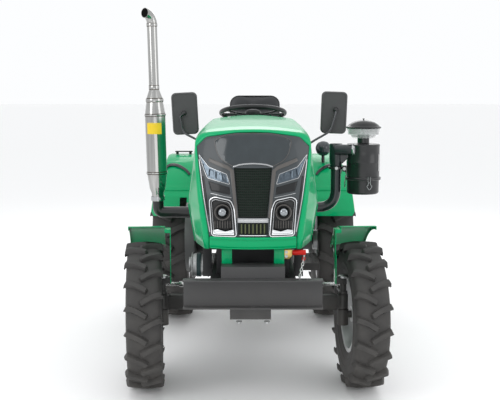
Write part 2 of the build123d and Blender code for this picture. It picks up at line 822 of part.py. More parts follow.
with BuildPart() as seat_cushion:
    cushion_z = seat_z + seat_tray + fit_gap
    cushion_y = (seat_y[0] - 10, seat_y[1] - back_depth - 2)
    block((-cushion_half, cushion_half), cushion_y, (cushion_z, cushion_z + cushion_h))
    fillet(seat_cushion.edges().filter_by(Axis.Z), 40)
finish(seat_cushion, "seat_cushion")

with BuildPart() as seat_back:
    block(back_x, (seat_y[1] - back_depth, seat_y[1] - fit_gap), back_z)
    fillet(seat_back.edges().filter_by(Axis.Y), 60)
finish(seat_back, "seat_back")

# ---------------------------------------------------------------- rear fenders
fender_wall = 4.0
rear_fender_r = 540.0
rear_fender_x = (345.0, 529.0, 590.0)        # inner plate, outer edge, flared foot


def arc_sheet(section, pivot_y, pivot_z, start, sweep_angle):
    """Turn a section, given as (x, radius) points, about a cross axis.

    Angles are measured at the axis, from straight ahead upwards.
    """
    a = radians(start)
    plane = Plane(origin=(0, pivot_y, pivot_z), x_dir=(1, 0, 0), z_dir=(0, -sin(a), -cos(a)))
    with BuildSketch(plane) as sheet:
        with BuildLine():
            Polyline(*section, close=True)
        make_face()
    revolve(
        sheet.sketch, axis=Axis((0, pivot_y, pivot_z), (-1, 0, 0)), revolution_arc=sweep_angle
    )


def behind_outline(points):
    """What lies between a front-view outline and the rear axle; points are (x, z)."""
    plane = Plane(origin=(0, rear_axle_y, 0), x_dir=(1, 0, 0), z_dir=(0, -1, 0))
    with BuildSketch(plane) as section:
        with BuildLine():
            Polyline(*points, close=True)
        make_face()
    return extrude(section.sketch, amount=rear_fender_r + 60, mode=Mode.PRIVATE)


apron_outline = ((345, 690), (570, 690), (586, 714), (577, 812), (529, 985), (345, 985))
lip_points = ((518, 926), (512, 955), (480, 965), (437, 956), (400, 938), (374, 914))
lip_h = 8.0
crease_h = 4.0
for side, side_name in side_names:
    x_in, x_out, x_flare = (side * x for x in rear_fender_x)
    r = rear_fender_r
    hub_at = (rear_axle_y, trumpet_z)
    with BuildPart() as apron:
        roof = [(x_in, r - fender_wall), (x_in, r), (x_flare, r), (x_flare, r - fender_wall)]
        arc_sheet(roof, *hub_at, 20, 50)
        arc_sheet(
            [
                (x_in + side * 8, r - 1),
                (x_in + side * 8, r),
                (x_in + side * 14, r + crease_h),
                (x_flare, r + crease_h),
                (x_flare, r - 1),
            ],
            *hub_at,
            41,
            3,
        )
        add(behind_outline([(side * x, z) for x, z in apron_outline]), mode=Mode.INTERSECT)
        if side < 0:
            block((-423, -383), (rear_axle_y - 600, rear_axle_y - 200), (734, 790), mode=Mode.SUBTRACT)
    with BuildPart() as rear_fender:
        arc_sheet(
            [
                (x_in, r - 60),
                (x_in, r),
                (x_out - side * 24, r),
                (x_out - side * 8, r - 7),
                (x_out, r - 22),
                (x_out, r - 48),
                (x_out - side * fender_wall, r - 48),
                (x_out - side * fender_wall, r - 24),
                (x_out - side * 11, r - 11),
                (x_out - side * 24, r - fender_wall),
                (x_in + side * fender_wall, r - fender_wall),
                (x_in + side * fender_wall, r - 60),
            ],
            *hub_at,
            60,
            76,
        )
        block(
            sorted((x_in, x_in + side * fender_wall)),
            (rear_axle_y - 440, rear_axle_y + 300),
            (trumpet_z + 110, trumpet_z + 360),
        )
        block(
            sorted((side * 200, x_in)),
            (rear_axle_y - 30, rear_axle_y + 30),
            (trumpet_z + 110, trumpet_z + 122),
        )
        block(
            sorted((side * 200, side * 230)),
            (rear_axle_y - 30, rear_axle_y + 30),
            (trumpet_z + 62 + fit_gap, trumpet_z + 122),
        )
        add(apron.part)
    finish(rear_fender, f"rear_fender_{side_name}")

    with BuildPart() as fender_lip:
        arc_sheet([(x_in, r), (x_in, r + lip_h), (x_flare, r + lip_h), (x_flare, r)], *hub_at, 45, 30)
        plane = Plane(origin=(0, rear_axle_y, 0), x_dir=(1, 0, 0), z_dir=(0, -1, 0))
        with BuildSketch(plane) as band:
            with BuildLine() as lip_line:
                Spline(*[(side * x, z) for x, z in lip_points])
            trace(lip_line.line, line_width=12)
        extrude(band.sketch, amount=rear_fender_r + 60, mode=Mode.INTERSECT)
    finish(fender_lip, f"fender_lip_{side_name}")

with BuildPart() as grab_bar:
    bar_y = rear_axle_y - 40
    bar_z = trumpet_z + rear_fender_r + 14
    block((-480, -372), (bar_y - 12, bar_y + 12), (bar_z, bar_z + 7))
    for foot_x in (-466, -386):
        block((foot_x - 8, foot_x + 8), (bar_y - 8, bar_y + 8), (trumpet_z + rear_fender_r, bar_z))
finish(grab_bar, "grab_bar")

lamp_at = Vector(420, rear_axle_y - 210, trumpet_z + sqrt(rear_fender_r**2 - 200**2) + 86)
with BuildPart() as work_lamp:
    with Locations(lamp_at):
        Sphere(46)
    bar(tuple(lamp_at - Vector(0, 0, 85)), tuple(lamp_at), 10)
finish(work_lamp, "work_lamp")

# ---------------------------------------------------------------- mirrors
with BuildPart() as mirrors:
    for centre_x, centre_z, base_x in ((-380, 1279, -238.5), (452, 1284, 238.5)):
        mirror_y = front_axle_y + 900
        with BuildSketch(Plane(origin=(centre_x, mirror_y, centre_z), z_dir=(0, -1, 0), x_dir=(1, 0, 0))):
            RectangleRounded(144, 234, 26)
        extrude(amount=32)
        pipe(
            [
                (base_x, front_axle_y + 860, 1060),
                (centre_x - (centre_x - base_x) / 4, front_axle_y + 876, 1170),
                (centre_x, mirror_y - 14, centre_z - 60),
            ],
            7,
            40,
        )
finish(mirrors, "mirrors")

# ---------------------------------------------------------------- front wheels' steering knuckles
spindle_z = front_tyre_r
spindle_r = 17.0
arm_l = 90.0
tie_z = 470.0
front_fender_r = 422.0
for side, side_name in side_names:
    pin_axis = Axis((side * kingpin_x, front_axle_y, 0), (0, 0, 1))
    with BuildPart() as straight_knuckle:
        pin_foot = (side * kingpin_x, front_axle_y, 300)
        pin_head = (side * kingpin_x, front_axle_y, 531)
        bar(pin_foot, pin_head, kingpin_r)
        bar(pin_foot, (side * kingpin_x, front_axle_y, axle_z[0] - 2), 26)
        bar(
            (side * kingpin_x, front_axle_y, spindle_z),
            (side * (front_half_track + 30), front_axle_y, spindle_z),
            spindle_r,
        )
        bar((side * kingpin_x, front_axle_y, 450), (side * kingpin_x, front_axle_y, 464), 20)
        block(
            sorted((side * (kingpin_x - 14), side * (kingpin_x + 12))),
            (front_axle_y, front_axle_y + arm_l),
            (450, 464),
        )
        arm_end = (side * kingpin_x, front_axle_y + arm_l)
        bar((*arm_end, 450), (*arm_end, 464), 13)
        bar((*arm_end, 460), (*arm_end, 490), 6)
        block(
            sorted((side * (kingpin_x - 36), side * (kingpin_x + 14))),
            (front_axle_y - 18, front_axle_y + 18),
            (500, 531),
        )
    with BuildPart() as knuckle:
        add(straight_knuckle.part.rotate(pin_axis, rest_steer))
    finish(knuckle, f"knuckle_{side_name}")

    with BuildPart() as straight_fender:
        x_in = side * (front_half_track - 98)
        x_out = side * (front_half_track + 76)
        r = front_fender_r
        arc_sheet(
            [
                (x_in, r - 22),
                (x_in, r),
                (x_out, r),
                (x_out, r - 18),
                (x_out - side * 3, r - 18),
                (x_out - side * 3, r - 3),
                (x_in + side * 3, r - 3),
                (x_in + side * 3, r - 22),
            ],
            front_axle_y,
            spindle_z,
            92,
            45,
        )
        plate_x = side * (kingpin_x - 36)
        block(
            sorted((plate_x, plate_x - side * 4)),
            (front_axle_y - 18, front_axle_y + 30),
            (500, 640),
        )
        block(
            sorted((plate_x, plate_x - side * 4)),
            (front_axle_y, front_axle_y + 60),
            (620, spindle_z + r - 12),
        )
        block(
            sorted((plate_x - side * 4, x_in + side * 2)),
            (front_axle_y, front_axle_y + 60),
            (spindle_z + r - 30, spindle_z + r - 12),
        )
    with BuildPart() as front_fender:
        add(straight_fender.part.rotate(pin_axis, rest_steer))
    finish(front_fender, f"front_fender_{side_name}")

arm_x = -arm_l * sin(radians(rest_steer))
arm_y = front_axle_y + arm_l * cos(radians(rest_steer))
with BuildPart() as tie_rod:
    ends = [(side * kingpin_x + arm_x, arm_y) for side in (1, -1)]
    bar((*ends[1], tie_z + 8), (*ends[0], tie_z + 8), 9)
    for end in ends:
        bar((*end, tie_z - 4), (*end, tie_z + 20), 14)
        bar((*end, tie_z - 6), (*end, tie_z + 22), 6 + shaft_gap, mode=Mode.SUBTRACT)
    for side in (1, -1):
        bar((side * 300 + arm_x, arm_y, tie_z + 8), (side * 350 + arm_x, arm_y, tie_z + 8), 14)
finish(tie_rod, "tie_rod")

# ---------------------------------------------------------------- wheels
wheel_plane = Plane(origin=(0, 0, 0), x_dir=(1, 0, 0), z_dir=(0, -1, 0))
wheel_columns = (
    "end",
    "tyre_r",
    "tyre_w",
    "bead_r",
    "bead_half",
    "hub_r",
    "hub_in",
    "hub_out",
    "bore_r",
    "bore_end",
    "disc_u",
    "lugs",
    "lug_w",
    "lug_h",
)
wheel_table = [
    ("front", front_tyre_r, front_tyre_w, front_bead_r, 62, 40, -45, 50, spindle_r, 32, 18, 18, 28, 22),
    ("rear", rear_tyre_r, rear_tyre_w, rear_bead_r, 78, 62, -112, 34, stub_r, 14, -6, 16, 40, 30),
]
tyre_sides = 22                            # a carcass is flat-sided under its lugs
lug_slant = 28.0
lug_crown = 5.0


def tyre_ring(u, radius, across_flats=False):
    with BuildSketch(Plane.YZ.offset(u)) as section:
        RegularPolygon(radius, tyre_sides, major_radius=not across_flats)
    return section.sketch


def lugged_tyre(w):
    """A tyre of flat-sided bands with slanting lugs from both shoulders to past its middle.

    The lugs' inner ends lead as the wheel rolls forward, and one of them stands on the ground.
    """
    half = w["tyre_w"] / 2
    bead = w["bead_half"]
    bead_r = w["bead_r"]
    carcass_r = w["tyre_r"] - w["lug_h"]
    wall_r = bead_r + 0.52 * (w["tyre_r"] - bead_r)
    bands = [(-half, wall_r), (-0.86 * half, carcass_r - 8)]
    bands += [(-u, r) for u, r in reversed(bands)]
    slant = radians(lug_slant)
    overlap = 0.16 * half
    foot_half = w["lug_w"] / 2 + 3
    top_half = 0.36 * w["lug_w"]
    lug_l = (half + overlap) / cos(slant) - 0.5 * w["lug_w"] * sin(slant)
    reach = sin(slant) * lug_l / 2 + top_half * cos(slant)
    top_r = sqrt(w["tyre_r"] ** 2 - reach**2)
    standing_turn = -90 - degrees(atan2(top_r, -reach))
    with BuildPart() as tyre:
        loft([tyre_ring(u, r) for u, r in bands], ruled=True)
        for side in (1, -1):
            hollow = [(side * bead, bead_r + 16), (side * (half + 1), wall_r - 3)]
            loft([tyre_ring(u, r) for u, r in hollow], ruled=True, mode=Mode.SUBTRACT)
        bore = tyre_ring(-half, bead_r, across_flats=True)
        extrude(bore, amount=2 * half, mode=Mode.SUBTRACT)
        lugs = []
        for side in (1, -1):
            along = Vector(side * cos(slant), sin(slant), -sin(radians(lug_crown)))
            across = Vector(-side * sin(slant), cos(slant), 0)
            foot = Vector(-side * overlap, -sin(slant) * lug_l / 2, top_r)
            lug_plane = Plane(origin=foot, x_dir=across, z_dir=along)
            deep = -side * (w["lug_h"] + 14)
            with BuildPart() as lug:
                with BuildSketch(lug_plane):
                    with BuildLine():
                        Polyline(
                            (-top_half, 0),
                            (top_half, 0),
                            (foot_half, deep),
                            (-foot_half, deep),
                            close=True,
                        )
                    make_face()
                extrude(amount=lug_l)
            half_step = 0.5 if side < 0 else 0
            for i in range(w["lugs"]):
                turn = standing_turn + 360 * (i + half_step) / w["lugs"]
                lugs.append(lug.part.rotate(Axis.X, turn))
        add(lugs)
    return tyre.part


for row in wheel_table:
    w = dict(zip(wheel_columns, row))
    bead = w["bead_half"]
    bead_r = w["bead_r"]
    tyre_form = lugged_tyre(w)
    seat_r = bead_r - fit_gap
    disc = w["disc_u"]
    with BuildPart() as rim_form:
        turned(
            [
                (-bead - 3, bead_r + 14),
                (-bead - fit_gap, bead_r + 14),
                (-bead - fit_gap, seat_r),
                (bead + fit_gap, seat_r),
                (bead + fit_gap, bead_r + 14),
                (bead + 3, bead_r + 14),
                (bead + 3, seat_r - 6),
                (disc + 6, seat_r - 6),
                (disc + 6, 0.62 * seat_r),
                (disc + 24, 0.5 * seat_r),
                (disc + 12, w["hub_r"]),
                (w["hub_out"], w["hub_r"]),
                (w["hub_out"], 0),
                (w["bore_end"], 0),
                (w["bore_end"], w["bore_r"] + shaft_gap),
                (w["hub_in"], w["bore_r"] + shaft_gap),
                (w["hub_in"], w["hub_r"]),
                (disc, w["hub_r"]),
                (disc + 16, 0.5 * seat_r),
                (disc, 0.66 * seat_r),
                (disc, seat_r - 6),
                (-bead - 3, seat_r - 6),
            ],
            wheel_plane,
        )
    for side, side_name in side_names:
        for form, kind in ((tyre_form, "tyre"), (rim_form.part, "rim")):
            with BuildPart() as placed:
                shape = form if side > 0 else form.mirror(Plane.YZ)
                if w["end"] == "front":
                    hub = Location((side * front_half_track, front_axle_y, spindle_z))
                    pin_axis = Axis((side * kingpin_x, front_axle_y, 0), (0, 0, 1))
                    add(shape.moved(hub).rotate(pin_axis, rest_steer))
                else:
                    hub = Location((side * rear_half_track, rear_axle_y, trumpet_z))
                    add(shape.moved(hub))
            finish(placed, f"{kind}_{w['end']}_{side_name}")

# ---------------------------------------------------------------- three-point hitch
slope = radians(hitch_slope)
arm_tip = (hitch_y + lift_arm_l * cos(slope), lift_pivot_z + lift_arm_l * sin(slope))
rod_foot = (hitch_y + lift_arm_l * cos(slope), link_pivot_z + lift_arm_l * sin(slope))
link_tip = (hitch_y + lower_link_l * cos(slope), link_pivot_z + lower_link_l * sin(slope))
arm_x_range = (136.0, 158.0)
rod_x_range = (160.0, 180.0)
link_x_range = (182.0, 206.0)


def flat_link(x, start, end, width, bores):
    """A flat bar between two (y, z) centres, with round ends; bores are (centre, radius)."""
    run = Vector(end[0] - start[0], end[1] - start[1])
    with BuildSketch(Plane.YZ.offset(min(x))) as flat:
        middle = ((start[0] + end[0]) / 2, (start[1] + end[1]) / 2)
        with Locations(Location((*middle, 0), (0, 0, degrees(atan2(run.Y, run.X))))):
            SlotCenterToCenter(run.length, width)
        for centre, radius in bores:
            with Locations(centre):
                Circle(radius, mode=Mode.SUBTRACT)
    extrude(flat.sketch, amount=max(x) - min(x))


with BuildPart() as lift_arms:
    for side in (1, -1):
        flat_link(
            [side * x for x in arm_x_range],
            (hitch_y, lift_pivot_z),
            arm_tip,
            56,
            [((hitch_y, lift_pivot_z), 18 + shaft_gap)],
        )
        bar((side * 150, *arm_tip), (side * 184, *arm_tip), rod_pin_r)
finish(lift_arms, "lift_arms")

with BuildPart() as lift_rods:
    for side in (1, -1):
        flat_link(
            [side * x for x in rod_x_range],
            rod_foot,
            arm_tip,
            34,
            [(arm_tip, rod_pin_r + shaft_gap), (rod_foot, rod_pin_r + 1)],
        )
finish(lift_rods, "lift_rods")

with BuildPart() as lower_links:
    for side in (1, -1):
        flat_link(
            [side * x for x in link_x_range],
            (hitch_y, link_pivot_z),
            link_tip,
            50,
            [((hitch_y, link_pivot_z), link_pin_r + shaft_gap), (link_tip, eye_bore_r)],
        )
        bar((side * 190, *rod_foot), (side * 158, *rod_foot), rod_pin_r)
finish(lower_links, "lower_links")

# ---------------------------------------------------------------- side rod and its chain
rod_y = front_axle_y - 341
rod_z = 711.0
rod_r = 12.0
post_side_x = 137.0
with BuildPart() as rod_bracket:
    with BuildSketch(Plane(origin=(0, rod_y, 0), x_dir=(1, 0, 0), z_dir=(0, -1, 0))):
        with BuildLine():
            Polyline(
                (post_side_x, 682),
                (158, 682),
                (172, 698),
                (172, 724),
                (post_side_x, 724),
                close=True,
            )
        make_face()
    extrude(amount=4, both=True)
finish(rod_bracket, "rod_bracket")

with BuildPart() as side_rod:
    bar((172, rod_y, rod_z), (232, rod_y, rod_z), rod_r)
finish(side_rod, "side_rod")

link_pitch = 17.7
link_count = 7
chain_foot_x = 200.0
chain_top_x = 224.0
stud_h = 8.0
chain_run = link_pitch * (link_count - 1) + 22
chain_fall = rod_z - rod_r - bumper_top_z - 2 * stud_h
chain_reach = sqrt(chain_run**2 - chain_fall**2 - (chain_top_x - chain_foot_x) ** 2)
chain_top = Vector(chain_top_x, rod_y, rod_z - rod_r - stud_h)
chain_foot = Vector(chain_foot_x, rod_y - chain_reach, bumper_top_z + stud_h)
link_outer = ((13, 3), (9, 7), (-9, 7), (-13, 3), (-13, -3), (-9, -7), (9, -7), (13, -3))
with BuildPart() as chain:
    down = (chain_foot - chain_top).normalized()
    level = Vector(down.Y, -down.X, 0).normalized()
    for i in range(link_count):
        normal = level if i % 2 else down.cross(level)
        centre = chain_top + down * (11 + link_pitch * i)
        with BuildSketch(Plane(origin=centre, x_dir=down, z_dir=normal)) as link:
            with BuildLine():
                Polyline(*link_outer, close=True)
            make_face()
            Rectangle(18, 6, mode=Mode.SUBTRACT)
        extrude(link.sketch, amount=2, both=True)
    bar(tuple(chain_top + Vector(0, 0, stud_h)), tuple(chain_top - Vector(0, 0, 3)), 4)
    bar(tuple(chain_foot - Vector(0, 0, stud_h)), tuple(chain_foot + Vector(0, 0, 3)), 4)
finish(chain, "chain")
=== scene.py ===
"""Compact farm tractor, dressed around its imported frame.  Metres, +Z up, the tractor faces -Y."""
import json
from math import atan2, ceil, cos, exp, pi, radians, sin, sqrt

import bmesh
import bpy
from mathutils import Matrix, Vector
from mathutils.bvhtree import BVHTree

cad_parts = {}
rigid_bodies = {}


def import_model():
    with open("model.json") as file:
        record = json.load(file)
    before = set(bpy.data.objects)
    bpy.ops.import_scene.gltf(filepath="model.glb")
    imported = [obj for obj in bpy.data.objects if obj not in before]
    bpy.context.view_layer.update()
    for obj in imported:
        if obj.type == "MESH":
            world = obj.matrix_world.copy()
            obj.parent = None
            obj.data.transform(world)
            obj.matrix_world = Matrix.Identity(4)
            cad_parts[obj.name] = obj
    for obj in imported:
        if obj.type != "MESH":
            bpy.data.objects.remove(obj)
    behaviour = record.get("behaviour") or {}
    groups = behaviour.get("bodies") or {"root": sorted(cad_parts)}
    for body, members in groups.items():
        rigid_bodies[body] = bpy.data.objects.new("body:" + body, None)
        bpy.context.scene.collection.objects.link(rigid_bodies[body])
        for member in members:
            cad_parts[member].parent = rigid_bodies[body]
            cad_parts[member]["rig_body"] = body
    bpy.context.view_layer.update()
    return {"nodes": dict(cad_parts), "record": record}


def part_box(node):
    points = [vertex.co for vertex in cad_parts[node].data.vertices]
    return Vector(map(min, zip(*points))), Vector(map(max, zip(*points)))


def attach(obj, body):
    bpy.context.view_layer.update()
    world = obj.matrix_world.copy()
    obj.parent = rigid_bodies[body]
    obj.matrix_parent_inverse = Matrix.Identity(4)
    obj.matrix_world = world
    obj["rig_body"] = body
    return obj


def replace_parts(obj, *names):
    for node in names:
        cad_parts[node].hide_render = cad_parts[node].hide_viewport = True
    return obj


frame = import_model()
nodes = frame["nodes"]

# ---------------------------------------------------------------- studio
# A pale sweep of floor under a white sky, a large softbox overhead, a tall key light to the left of
# the lens and weaker fills, so that the gloss paint shows long soft highlights.
sky = bpy.data.worlds.new("studio_sky")
bpy.context.scene.world = sky
sky.use_nodes = True
sky_light = sky.node_tree.nodes["Background"]
sky_light.inputs["Color"].default_value = (0.98, 0.99, 1.0, 1.0)
sky_light.inputs["Strength"].default_value = 1.0
bpy.context.scene.view_settings.view_transform = "Standard"

floor_half = 60.0
floor_mesh = bpy.data.meshes.new("floor")
floor_corners = [(-floor_half, -floor_half, 0), (floor_half, -floor_half, 0),
                 (floor_half, floor_half, 0), (-floor_half, floor_half, 0)]
floor_mesh.from_pydata(floor_corners, [], [(0, 1, 2, 3)])
studio_floor = bpy.data.objects.new("studio_floor", floor_mesh)
bpy.context.scene.collection.objects.link(studio_floor)
floor_paint = bpy.data.materials.new("floor_paint")
floor_paint.use_nodes = True
floor_shader = floor_paint.node_tree.nodes["Principled BSDF"]
floor_shader.inputs["Base Color"].default_value = (0.94, 0.94, 0.94, 1.0)
floor_shader.inputs["Roughness"].default_value = 0.6
floor_mesh.materials.append(floor_paint)

light_columns = ("name", "place", "aim", "size", "power")
light_table = [
    ("roof_softbox", (0.0, -0.4, 4.6), (0, 0, 0.6), (6.0, 6.0), 50.0),
    ("key_light", (-3.6, -4.2, 2.8), (0, -0.6, 0.8), (2.2, 2.8), 50.0),
    ("side_fill", (4.2, -2.6, 2.2), (0, -0.4, 0.7), (2.4, 2.6), 28.0),
    ("low_fill", (0.0, -6.0, 0.7), (0, 0, 0.7), (3.0, 0.8), 8.0),
    ("back_light", (0.5, 4.5, 3.4), (0, 0, 0.9), (3.0, 2.0), 35.0),
]
for row in light_table:
    light_row = dict(zip(light_columns, row))
    softbox = bpy.data.lights.new(light_row["name"], "AREA")
    softbox.shape = "RECTANGLE"
    softbox.size, softbox.size_y = light_row["size"]
    softbox.energy = light_row["power"]
    stand = bpy.data.objects.new(light_row["name"], softbox)
    stand.location = light_row["place"]
    aim = Vector(light_row["aim"]) - Vector(light_row["place"])
    stand.rotation_euler = aim.to_track_quat("-Z", "Y").to_euler()
    bpy.context.scene.collection.objects.link(stand)

lens = bpy.data.cameras.new("front_camera")
lens.lens = 68.4
lens.sensor_width = 36.0
lens.shift_x = -0.006
lens.clip_end = 200.0
front_camera = bpy.data.objects.new("front_camera", lens)
front_camera.location = (0.0, -5.242, 1.448)
front_camera.rotation_euler = (radians(90 - 7.02), 0, 0)
bpy.context.scene.collection.objects.link(front_camera)
bpy.context.scene.camera = front_camera


# ---------------------------------------------------------------- frame rails and front bumper
# Two channel rails carry everything.  A pressed channel is bolted across their front ends as the
# bumper, with slots for a front weight, over a towing plate.  All are brushed with satin enamel.
def joined(tree, kind, links, **settings):
    """Adds a node with its settings; each input is joined to a socket, or to several, or set."""
    node = tree.nodes.new(kind)
    for key, value in settings.items():
        setattr(node, key, value)
    for label, value in links.items():
        for one in value if isinstance(value, list) else [value]:
            if isinstance(one, bpy.types.NodeSocket):
                tree.links.new(one, node.inputs[label])
            else:
                node.inputs[label].default_value = one
    return node.outputs


def finish_of(name, colour, rough, metal=0.0, coat=0.0, mottle=0.10, mottle_size=0.09,
              grain=0.15, grain_size=0.0015, dust=0.0, dust_top=0.6, sheen=0.35):
    """A material whose colour and gloss drift in soft patches, with a fine grain and road dust."""
    material = bpy.data.materials.new(name)
    material.use_nodes = True
    tree = material.node_tree
    shader = tree.nodes["Principled BSDF"]
    for label, value in (("Metallic", metal), ("Coat Weight", coat), ("Coat Roughness", 0.06),
                         ("Specular IOR Level", sheen)):
        shader.inputs[label].default_value = value
    place = joined(tree, "ShaderNodeTexCoord", {})["Object"]
    patches = joined(tree, "ShaderNodeTexNoise", {"Scale": 1.0 / mottle_size, "Detail": 6.0,
                                                  "Vector": place})["Fac"]
    darker = (*(c * (1 - mottle) for c in colour), 1.0)
    paler = (*(min(c * (1 + mottle) + mottle * 0.02, 1.0) for c in colour), 1.0)
    base = joined(tree, "ShaderNodeMix", {"A": darker, "B": paler, "Factor": patches},
                  data_type="RGBA")["Result"]
    if dust:
        height = joined(tree, "ShaderNodeSeparateXYZ", {"Vector": place})["Z"]
        low = joined(tree, "ShaderNodeMapRange", {"From Min": dust_top, "From Max": 0.0,
                                                  "To Max": dust, "Value": height})["Result"]
        cloud = joined(tree, "ShaderNodeMath", {0: low, 1: patches}, operation="MULTIPLY")["Value"]
        base = joined(tree, "ShaderNodeMix", {"B": (0.42, 0.38, 0.32, 1.0), "Factor": cloud,
                                              "A": base}, data_type="RGBA")["Result"]
    tree.links.new(base, shader.inputs["Base Color"])
    gloss = joined(tree, "ShaderNodeMapRange", {"To Min": rough * 0.8, "Value": patches,
                                                "To Max": min(rough * 1.25, 1.0)})["Result"]
    tree.links.new(gloss, shader.inputs["Roughness"])
    grit = joined(tree, "ShaderNodeTexNoise", {"Scale": 1.0 / grain_size, "Detail": 3.0,
                                               "Vector": place})["Fac"]
    bump = joined(tree, "ShaderNodeBump", {"Strength": grain, "Distance": 0.0004, "Height": grit})
    tree.links.new(bump["Normal"], shader.inputs["Normal"])
    return material


def mesh_of(form, name):
    """Turns a bmesh into a mesh."""
    mesh = bpy.data.meshes.new(name)
    form.to_mesh(mesh)
    form.free()
    return mesh


def form_of(*meshes):
    """Gathers meshes in one bmesh."""
    form = bmesh.new()
    for mesh in meshes:
        form.from_mesh(mesh)
    return form


def placed(mesh, name, slot, body, smooth_angle):
    """A piece from a mesh, smooth except over its sharp edges, riding on its body."""
    mesh.shade_smooth()
    mesh.set_sharp_from_angle(angle=radians(smooth_angle))
    piece = bpy.data.objects.new(name, mesh)
    bpy.context.scene.collection.objects.link(piece)
    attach(piece, body)
    return piece


def piece_from(form, name, finish, slot, body, smooth_angle=40):
    """A piece in one finish, from a bmesh."""
    mesh = mesh_of(form, name)
    mesh.materials.append(finish)
    return placed(mesh, name, slot, body, smooth_angle)


def dressed(node, finish, edge_round=0.0012, crease=32):
    """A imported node's own form with its edges rounded over, standing for the node."""
    form = form_of(nodes[node].data)
    bmesh.ops.remove_doubles(form, verts=form.verts, dist=1e-5)
    bmesh.ops.dissolve_limit(form, angle_limit=radians(0.6), verts=form.verts, edges=form.edges)
    sharp = [e for e in form.edges if len(e.link_faces) == 2
             and e.calc_face_angle() > radians(crease)]
    if edge_round:
        bmesh.ops.bevel(form, geom=sharp, offset=edge_round, segments=2, profile=0.5,
                        affect="EDGES", clamp_overlap=True)
    slot = next(s["material_slot"] for s in frame["record"]["subparts"] if s["node"] == node)
    piece = piece_from(form, node + "_form", finish, slot, nodes[node]["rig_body"], crease)
    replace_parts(piece, node)
    return piece


chassis_black = finish_of("chassis_black", (0.020, 0.021, 0.022), 0.42, grain=0.25, dust=0.35)
bumper_grey = finish_of("bumper_grey", (0.050, 0.050, 0.051), 0.42, grain=0.3, dust=0.25)
dressed("frame_rails", chassis_black)
dressed("front_bumper", bumper_grey, 0.0025)

# ---------------------------------------------------------------- bolts of the frame
# Zinc-plated hexagon bolts with washers hold the towing plate and the brackets to the rails.  One
# Geometry Nodes tree sets them over a list of places, so that a group of bolts is one mesh.
def started_tree(name, inputs, made):
    """A Geometry Nodes tree with its sockets, and what goes into it; a finish always comes last."""
    tree = bpy.data.node_groups.new(name, "GeometryNodeTree")
    for label, kind in (*inputs, ("Finish", "Material")):
        tree.interface.new_socket(label, in_out="INPUT", socket_type="NodeSocket" + kind)
    tree.interface.new_socket(made, in_out="OUTPUT", socket_type="NodeSocketGeometry")
    return tree, tree.nodes.new("NodeGroupInput").outputs


def copies(tree, points, form, turn):
    """Sets a form on every point, each turned as its point asks."""
    return joined(tree, "GeometryNodeInstanceOnPoints",
                  {"Points": points, "Instance": form, "Rotation": turn})["Instances"]


def ended(tree, given, geometry):
    """Makes the copies real, gives them the finish and sends them out of the tree."""
    real = joined(tree, "GeometryNodeRealizeInstances", {"Geometry": geometry})["Geometry"]
    coated = joined(tree, "GeometryNodeSetMaterial", {"Geometry": real,
                                                      "Material": given["Finish"]})["Geometry"]
    joined(tree, "NodeGroupOutput", {0: coated})
    return tree


def bolt_tree():
    """Sets a washer and a hexagon head on every point, along the point's facing attribute."""
    tree, given = started_tree("bolts", (("Places", "Geometry"), ("Head Radius", "Float"),
                                         ("Head Height", "Float")), "Bolts")
    radius, height = given["Head Radius"], given["Head Height"]
    wide = joined(tree, "ShaderNodeMath", {0: radius, 1: 1.45}, operation="MULTIPLY")[0]
    half = joined(tree, "ShaderNodeMath", {0: height, 1: 0.5}, operation="MULTIPLY")[0]
    head = joined(tree, "GeometryNodeMeshCylinder", {"Vertices": 6, "Radius": radius,
                                                     "Depth": height})["Mesh"]
    washer = joined(tree, "GeometryNodeMeshCylinder", {"Vertices": 20, "Depth": 0.003,
                                                       "Radius": wide})["Mesh"]
    lift = joined(tree, "ShaderNodeCombineXYZ", {"Z": half})["Vector"]
    raised = joined(tree, "GeometryNodeTransform", {"Geometry": head,
                                                    "Translation": lift})["Geometry"]
    whole = joined(tree, "GeometryNodeJoinGeometry", {"Geometry": [raised, washer]})["Geometry"]
    facing = joined(tree, "GeometryNodeInputNamedAttribute", {"Name": "facing"},
                    data_type="FLOAT_VECTOR")["Attribute"]
    aim = joined(tree, "FunctionNodeAlignRotationToVector", {"Vector": facing},
                 axis="Z")["Rotation"]
    return ended(tree, given, copies(tree, given["Places"], whole, aim))


def worked_out(piece):
    """The mesh a piece comes to with its modifiers."""
    depsgraph = bpy.context.evaluated_depsgraph_get()
    return bpy.data.meshes.new_from_object(piece.evaluated_get(depsgraph), depsgraph=depsgraph)


def grown_mesh(seed_mesh, tree, settings, name):
    """Runs a Geometry Nodes tree on a mesh and keeps the result as a plain mesh."""
    seed = bpy.data.objects.new(name + "_seed", seed_mesh)
    bpy.context.scene.collection.objects.link(seed)
    grower = seed.modifiers.new("grow", "NODES")
    grower.node_group = tree
    sockets = {s.name: s.identifier for s in tree.interface.items_tree if s.in_out == "INPUT"}
    for label, value in settings.items():
        grower[sockets[label]] = value
    bpy.context.view_layer.update()
    mesh = worked_out(seed)
    bpy.data.objects.remove(seed)
    mesh.name = name
    return mesh


def grown(seed_mesh, tree, settings, name, slot, body, smooth_angle=40):
    """The same as a piece on a body."""
    return placed(grown_mesh(seed_mesh, tree, settings, name), name, slot, body, smooth_angle)


def bolted(name, places, head_radius, body, finish, slot="zinc"):
    """Hexagon bolts at (place, facing) pairs, in metres."""
    points = bpy.data.meshes.new(name + "_places")
    points.from_pydata([place for place, _ in places], [], [])
    facing = points.attributes.new("facing", "FLOAT_VECTOR", "POINT")
    for i, (_, direction) in enumerate(places):
        facing.data[i].vector = direction
    settings = {"Head Radius": head_radius, "Head Height": head_radius * 0.75, "Finish": finish}
    return grown(points, bolts, settings, name, slot, body, 30)


